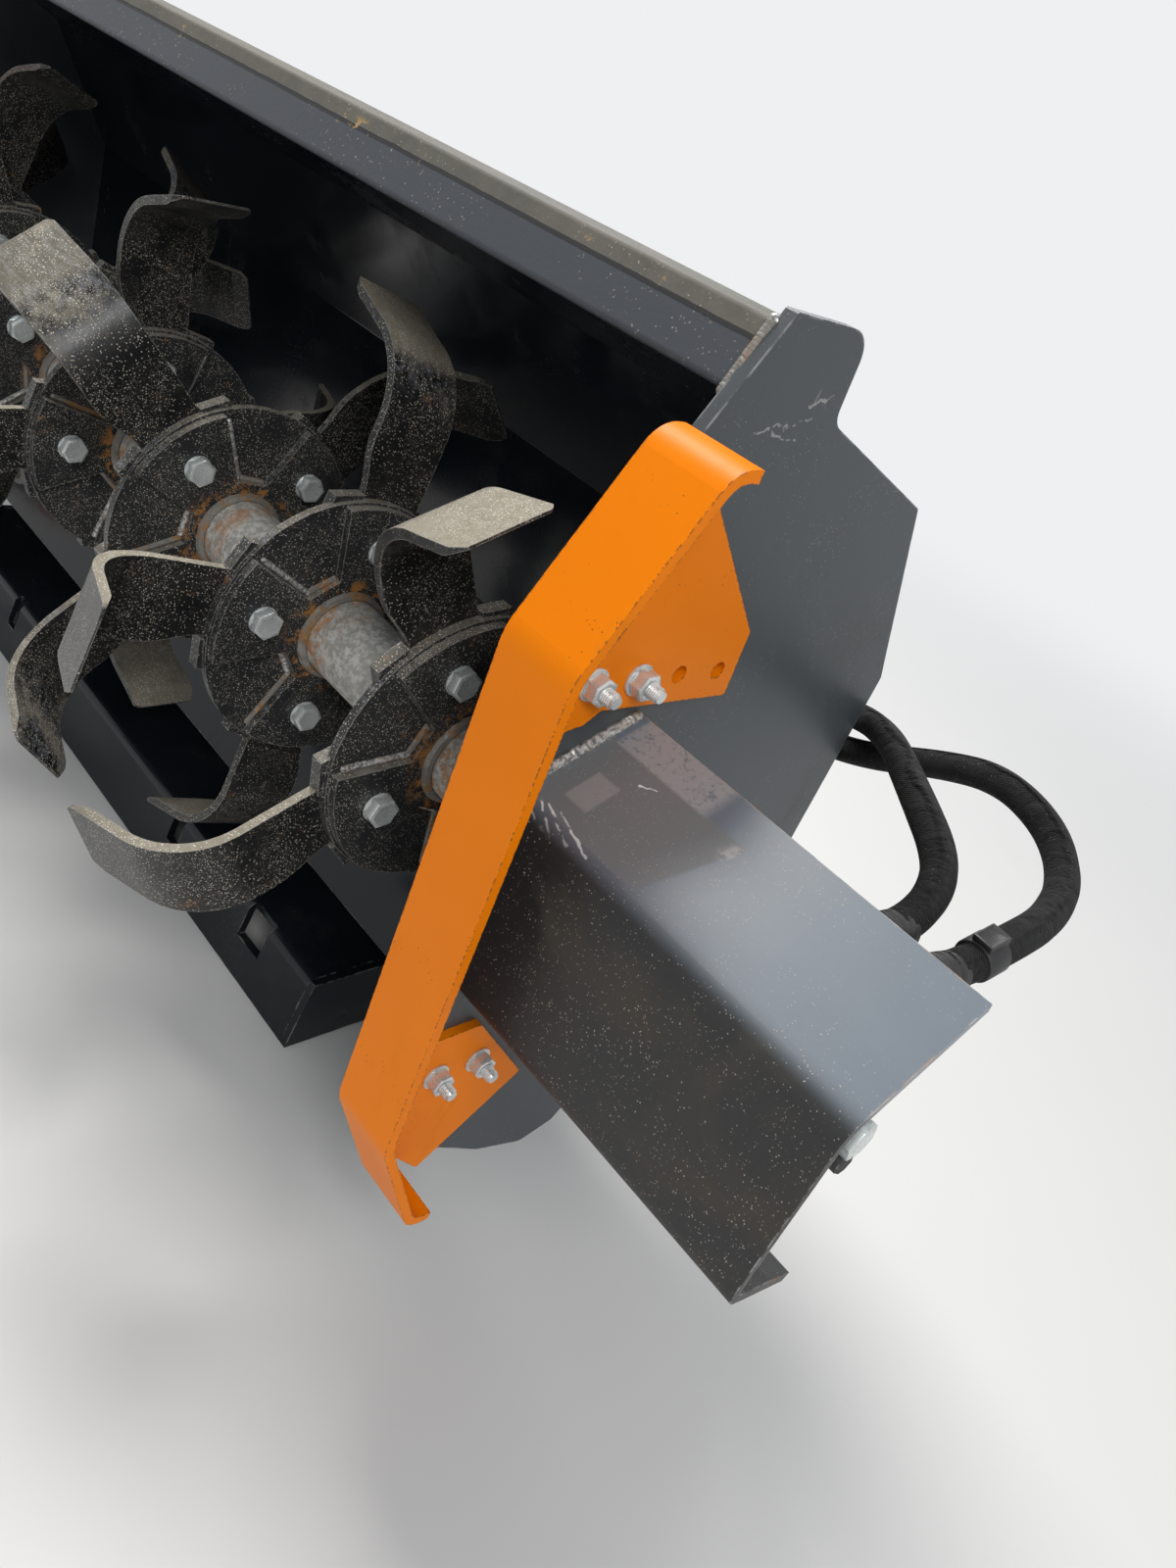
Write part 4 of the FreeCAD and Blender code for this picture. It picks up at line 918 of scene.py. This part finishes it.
def weld_ring(x, radius, thickness, finish):
    """A weld bead round the rotor's axis with its ripples."""
    sides = 8
    ring = added("torus", finish, major_segments=84, minor_segments=sides, major_radius=radius,
                 minor_radius=thickness, rotation=(0.0, math.pi / 2.0, 0.0),
                 location=from_axis(x, 0.0, 0.0))
    for vertex in ring.data.vertices:
        vertex.select = (vertex.index // sides) % 2 == 0
    bpy.ops.object.mode_set(mode="EDIT")
    bpy.ops.mesh.select_mode(type="VERT")
    bpy.ops.transform.shrink_fatten(value=thickness * 0.22)
    uneven(thickness * 0.2)
    return ring


HUB_WELDS = (0.0015, -0.0175)              # beside both faces of a disc, from its first face
NOTCH_FLOOR = -0.0075                      # the notches' floor, from the same face
INNER_CORNER = (0.0565, 0.0135)            # a notch's corners, out from the axis and across
OUTER_CORNER = (0.1130, 0.0405)
FAR_CORNER = (0.0550, -0.0135)
for disc in range(DISCS):
    face = DISC_FACE - disc * DISC_PITCH
    rings = [weld_ring(face + gap, TUBE_RADIUS + 0.002, 0.0042, weld_brown) for gap in HUB_WELDS]
    beads = []
    for notch in range(TINES):
        angle = math.radians(FIRST_TINE - disc * HELIX + (notch + 0.5) * 360.0 / TINES)
        out = Vector((0.0, math.cos(angle), math.sin(angle)))
        across = Vector((0.0, -math.sin(angle), math.cos(angle)))
        inner, outer, far = (
            from_axis(face + NOTCH_FLOOR, 0.0, 0.0) + out * reach + across * side
            for reach, side in (INNER_CORNER, OUTER_CORNER, FAR_CORNER))
        beads.append(weld_run(inner, outer, 0.0030, weld_brown if notch % 2 else weld_bright))
        beads.append(weld_run(far, inner, 0.0032, weld_bright if notch % 2 else weld_brown))
    finished(f"tube_welds_{disc + 1}", rings, "rotor")
    finished(f"notch_welds_{disc + 1}", beads, "rotor")

# the motor guard's welds to the side plate's outer face
GUARD_RUNS = [((-0.100, 0.0885), (0.000, 0.1375)), ((-0.111, -0.060), (-0.111, 0.066)),
              ((-0.098, -0.0815), (-0.018, -0.1205))]
guard_welds = [weld_across(PLATE + 0.002, start, end, 0.0045, weld_bright)
               for start, end in GUARD_RUNS]
finished("guard_welds", guard_welds, "frame")

# the front rail's welds to the side plate's inner face, up its slope and along its top
RAIL_END = PLATE - 0.0115
RAIL_LOW = (-0.0400, 0.3590)
RAIL_HIGH = (-0.0199, 0.4037)
RAIL_BACK = (0.0200, 0.4037)
rail_welds = [weld_across(RAIL_END, RAIL_LOW, RAIL_HIGH, 0.004, weld_brown),
              weld_across(RAIL_END, RAIL_HIGH, RAIL_BACK, 0.004, weld_bright)]
finished("rail_welds", rail_welds, "frame")

# the ribs' welds to the coupling plate, under the paint, on both sides of each rib
RIBS = (0.500, 0.170, -0.170, -0.500)
RIB_SIDE = 0.0062
RIB_RUN = ((0.170, -0.3960), (0.388, -0.3960))
rib_welds = [weld_across(rib + side, *RIB_RUN, 0.0042, gloss)
             for rib in RIBS for side in (-RIB_SIDE, RIB_SIDE)]
finished("rib_welds", rib_welds, "frame")


# ---------------------------------------------------------------- hose ends, strap and motor end
def ring_of(start, radius, length, finish, facets=40, edge=0.0012):
    """A collar round X, from start along +X, its edges rounded."""
    collar = laid_along_x("cylinder", finish, start + length / 2.0, vertices=facets,
                          radius=radius, depth=length)
    return bevelled(collar, edge)


def crimp(finish):
    """A hose's crimped end along +X from X = 0: pressed bands and a hexagon."""
    parts = [ring_of(0.0, 0.0140, 0.034, finish)]
    for band in (0.005, 0.013, 0.021):
        parts.append(ring_of(band, 0.0147, 0.005, finish, edge=0.0009))
    parts.append(hexagon(0.029, 0.012, 0.0345, finish))
    return joined("crimp", parts)


coupler_crimp = crimp(yellow_zinc)
motor_crimp = crimp(strap)
collar = joined("collar", [ring_of(0.016, 0.0172, 0.006, zinc),
                           ring_of(0.026, 0.0176, 0.014, zinc, 28, 0.0022),
                           ring_of(0.0475, 0.0170, 0.004, zinc)])
for number, route in enumerate(ROUTES.values(), start=1):
    end = Vector(route[-1]) + AXIS
    out = (Vector(route[-1]) - Vector(route[-2])).normalized()
    pieces = [aimed(coupler_crimp, end - out * 0.036, out), aimed(collar, end, out)]
    finished(f"coupler_collar_{number}", pieces, "frame")
    start = Vector(route[0]) + AXIS
    inward = (Vector(route[1]) - Vector(route[0])).normalized()
    ferrule = aimed(motor_crimp, start + inward * 0.038, -inward)
    finished(f"motor_end_ferrule_{number}", [ferrule], "frame")
for pattern in (coupler_crimp, motor_crimp, collar):
    bpy.data.objects.remove(pattern)

# the strap that gathers the return hose's sleeve beside the guard, with its buckle
STRAP_PLACE = Vector((1.1010, 0.092, 0.109)) + AXIS
STRAP_WAY = Vector((0.10, 0.95, 0.24)).normalized()
band = joined("band", [ring_of(-0.011, 0.0152, 0.022, strap, 40, 0.0015)])
buckle = added("cube", strap, size=1.0, location=(0.0, 0.0, 0.0168))
scaled(buckle, (0.021, 0.016, 0.0055))
bevelled(buckle, 0.0012)
pick_face(buckle, (0.0, 0.0, 1.0))
bpy.ops.mesh.inset(thickness=0.003)
bpy.ops.transform.translate(value=(0.0, 0.0, -0.0020))
bpy.ops.object.mode_set(mode="OBJECT")
buckled = joined("buckled", [band, buckle])
finished("sleeve_strap", [aimed(buckled, STRAP_PLACE, STRAP_WAY)], "frame")
bpy.data.objects.remove(buckled)

# a tie round both hoses on the coupling plate, wide enough for the two side by side
TIE_PLACE = (0.150, AXIS.y + 0.4415, AXIS.z - 0.3815)
tie = joined("hose_tie", [ring_of(-0.0035, 0.0160, 0.007, strap, 48, 0.001)])
tie.scale.y = 2.08
tie.location = TIE_PLACE
finished("hose_tie", [tie], "frame")

# the motor's end: a nut on its plug and a small black tab beside it
plug = ring_of(1.094, 0.0125, 0.022, iron)
plug_nut = hexagon(0.027, 0.012, 1.1145)
tab = hexagon(0.016, 0.026, 1.098, iron)
for piece, y, z in ((plug, 0.0, 0.0), (plug_nut, 0.0, 0.0), (tab, 0.002, -0.024)):
    piece.location.y = AXIS.y + y
    piece.location.z = AXIS.z + z
finished("motor_end_nut", [plug, plug_nut, tab], "frame")

bpy.context.scene.view_settings.view_transform = "Standard"
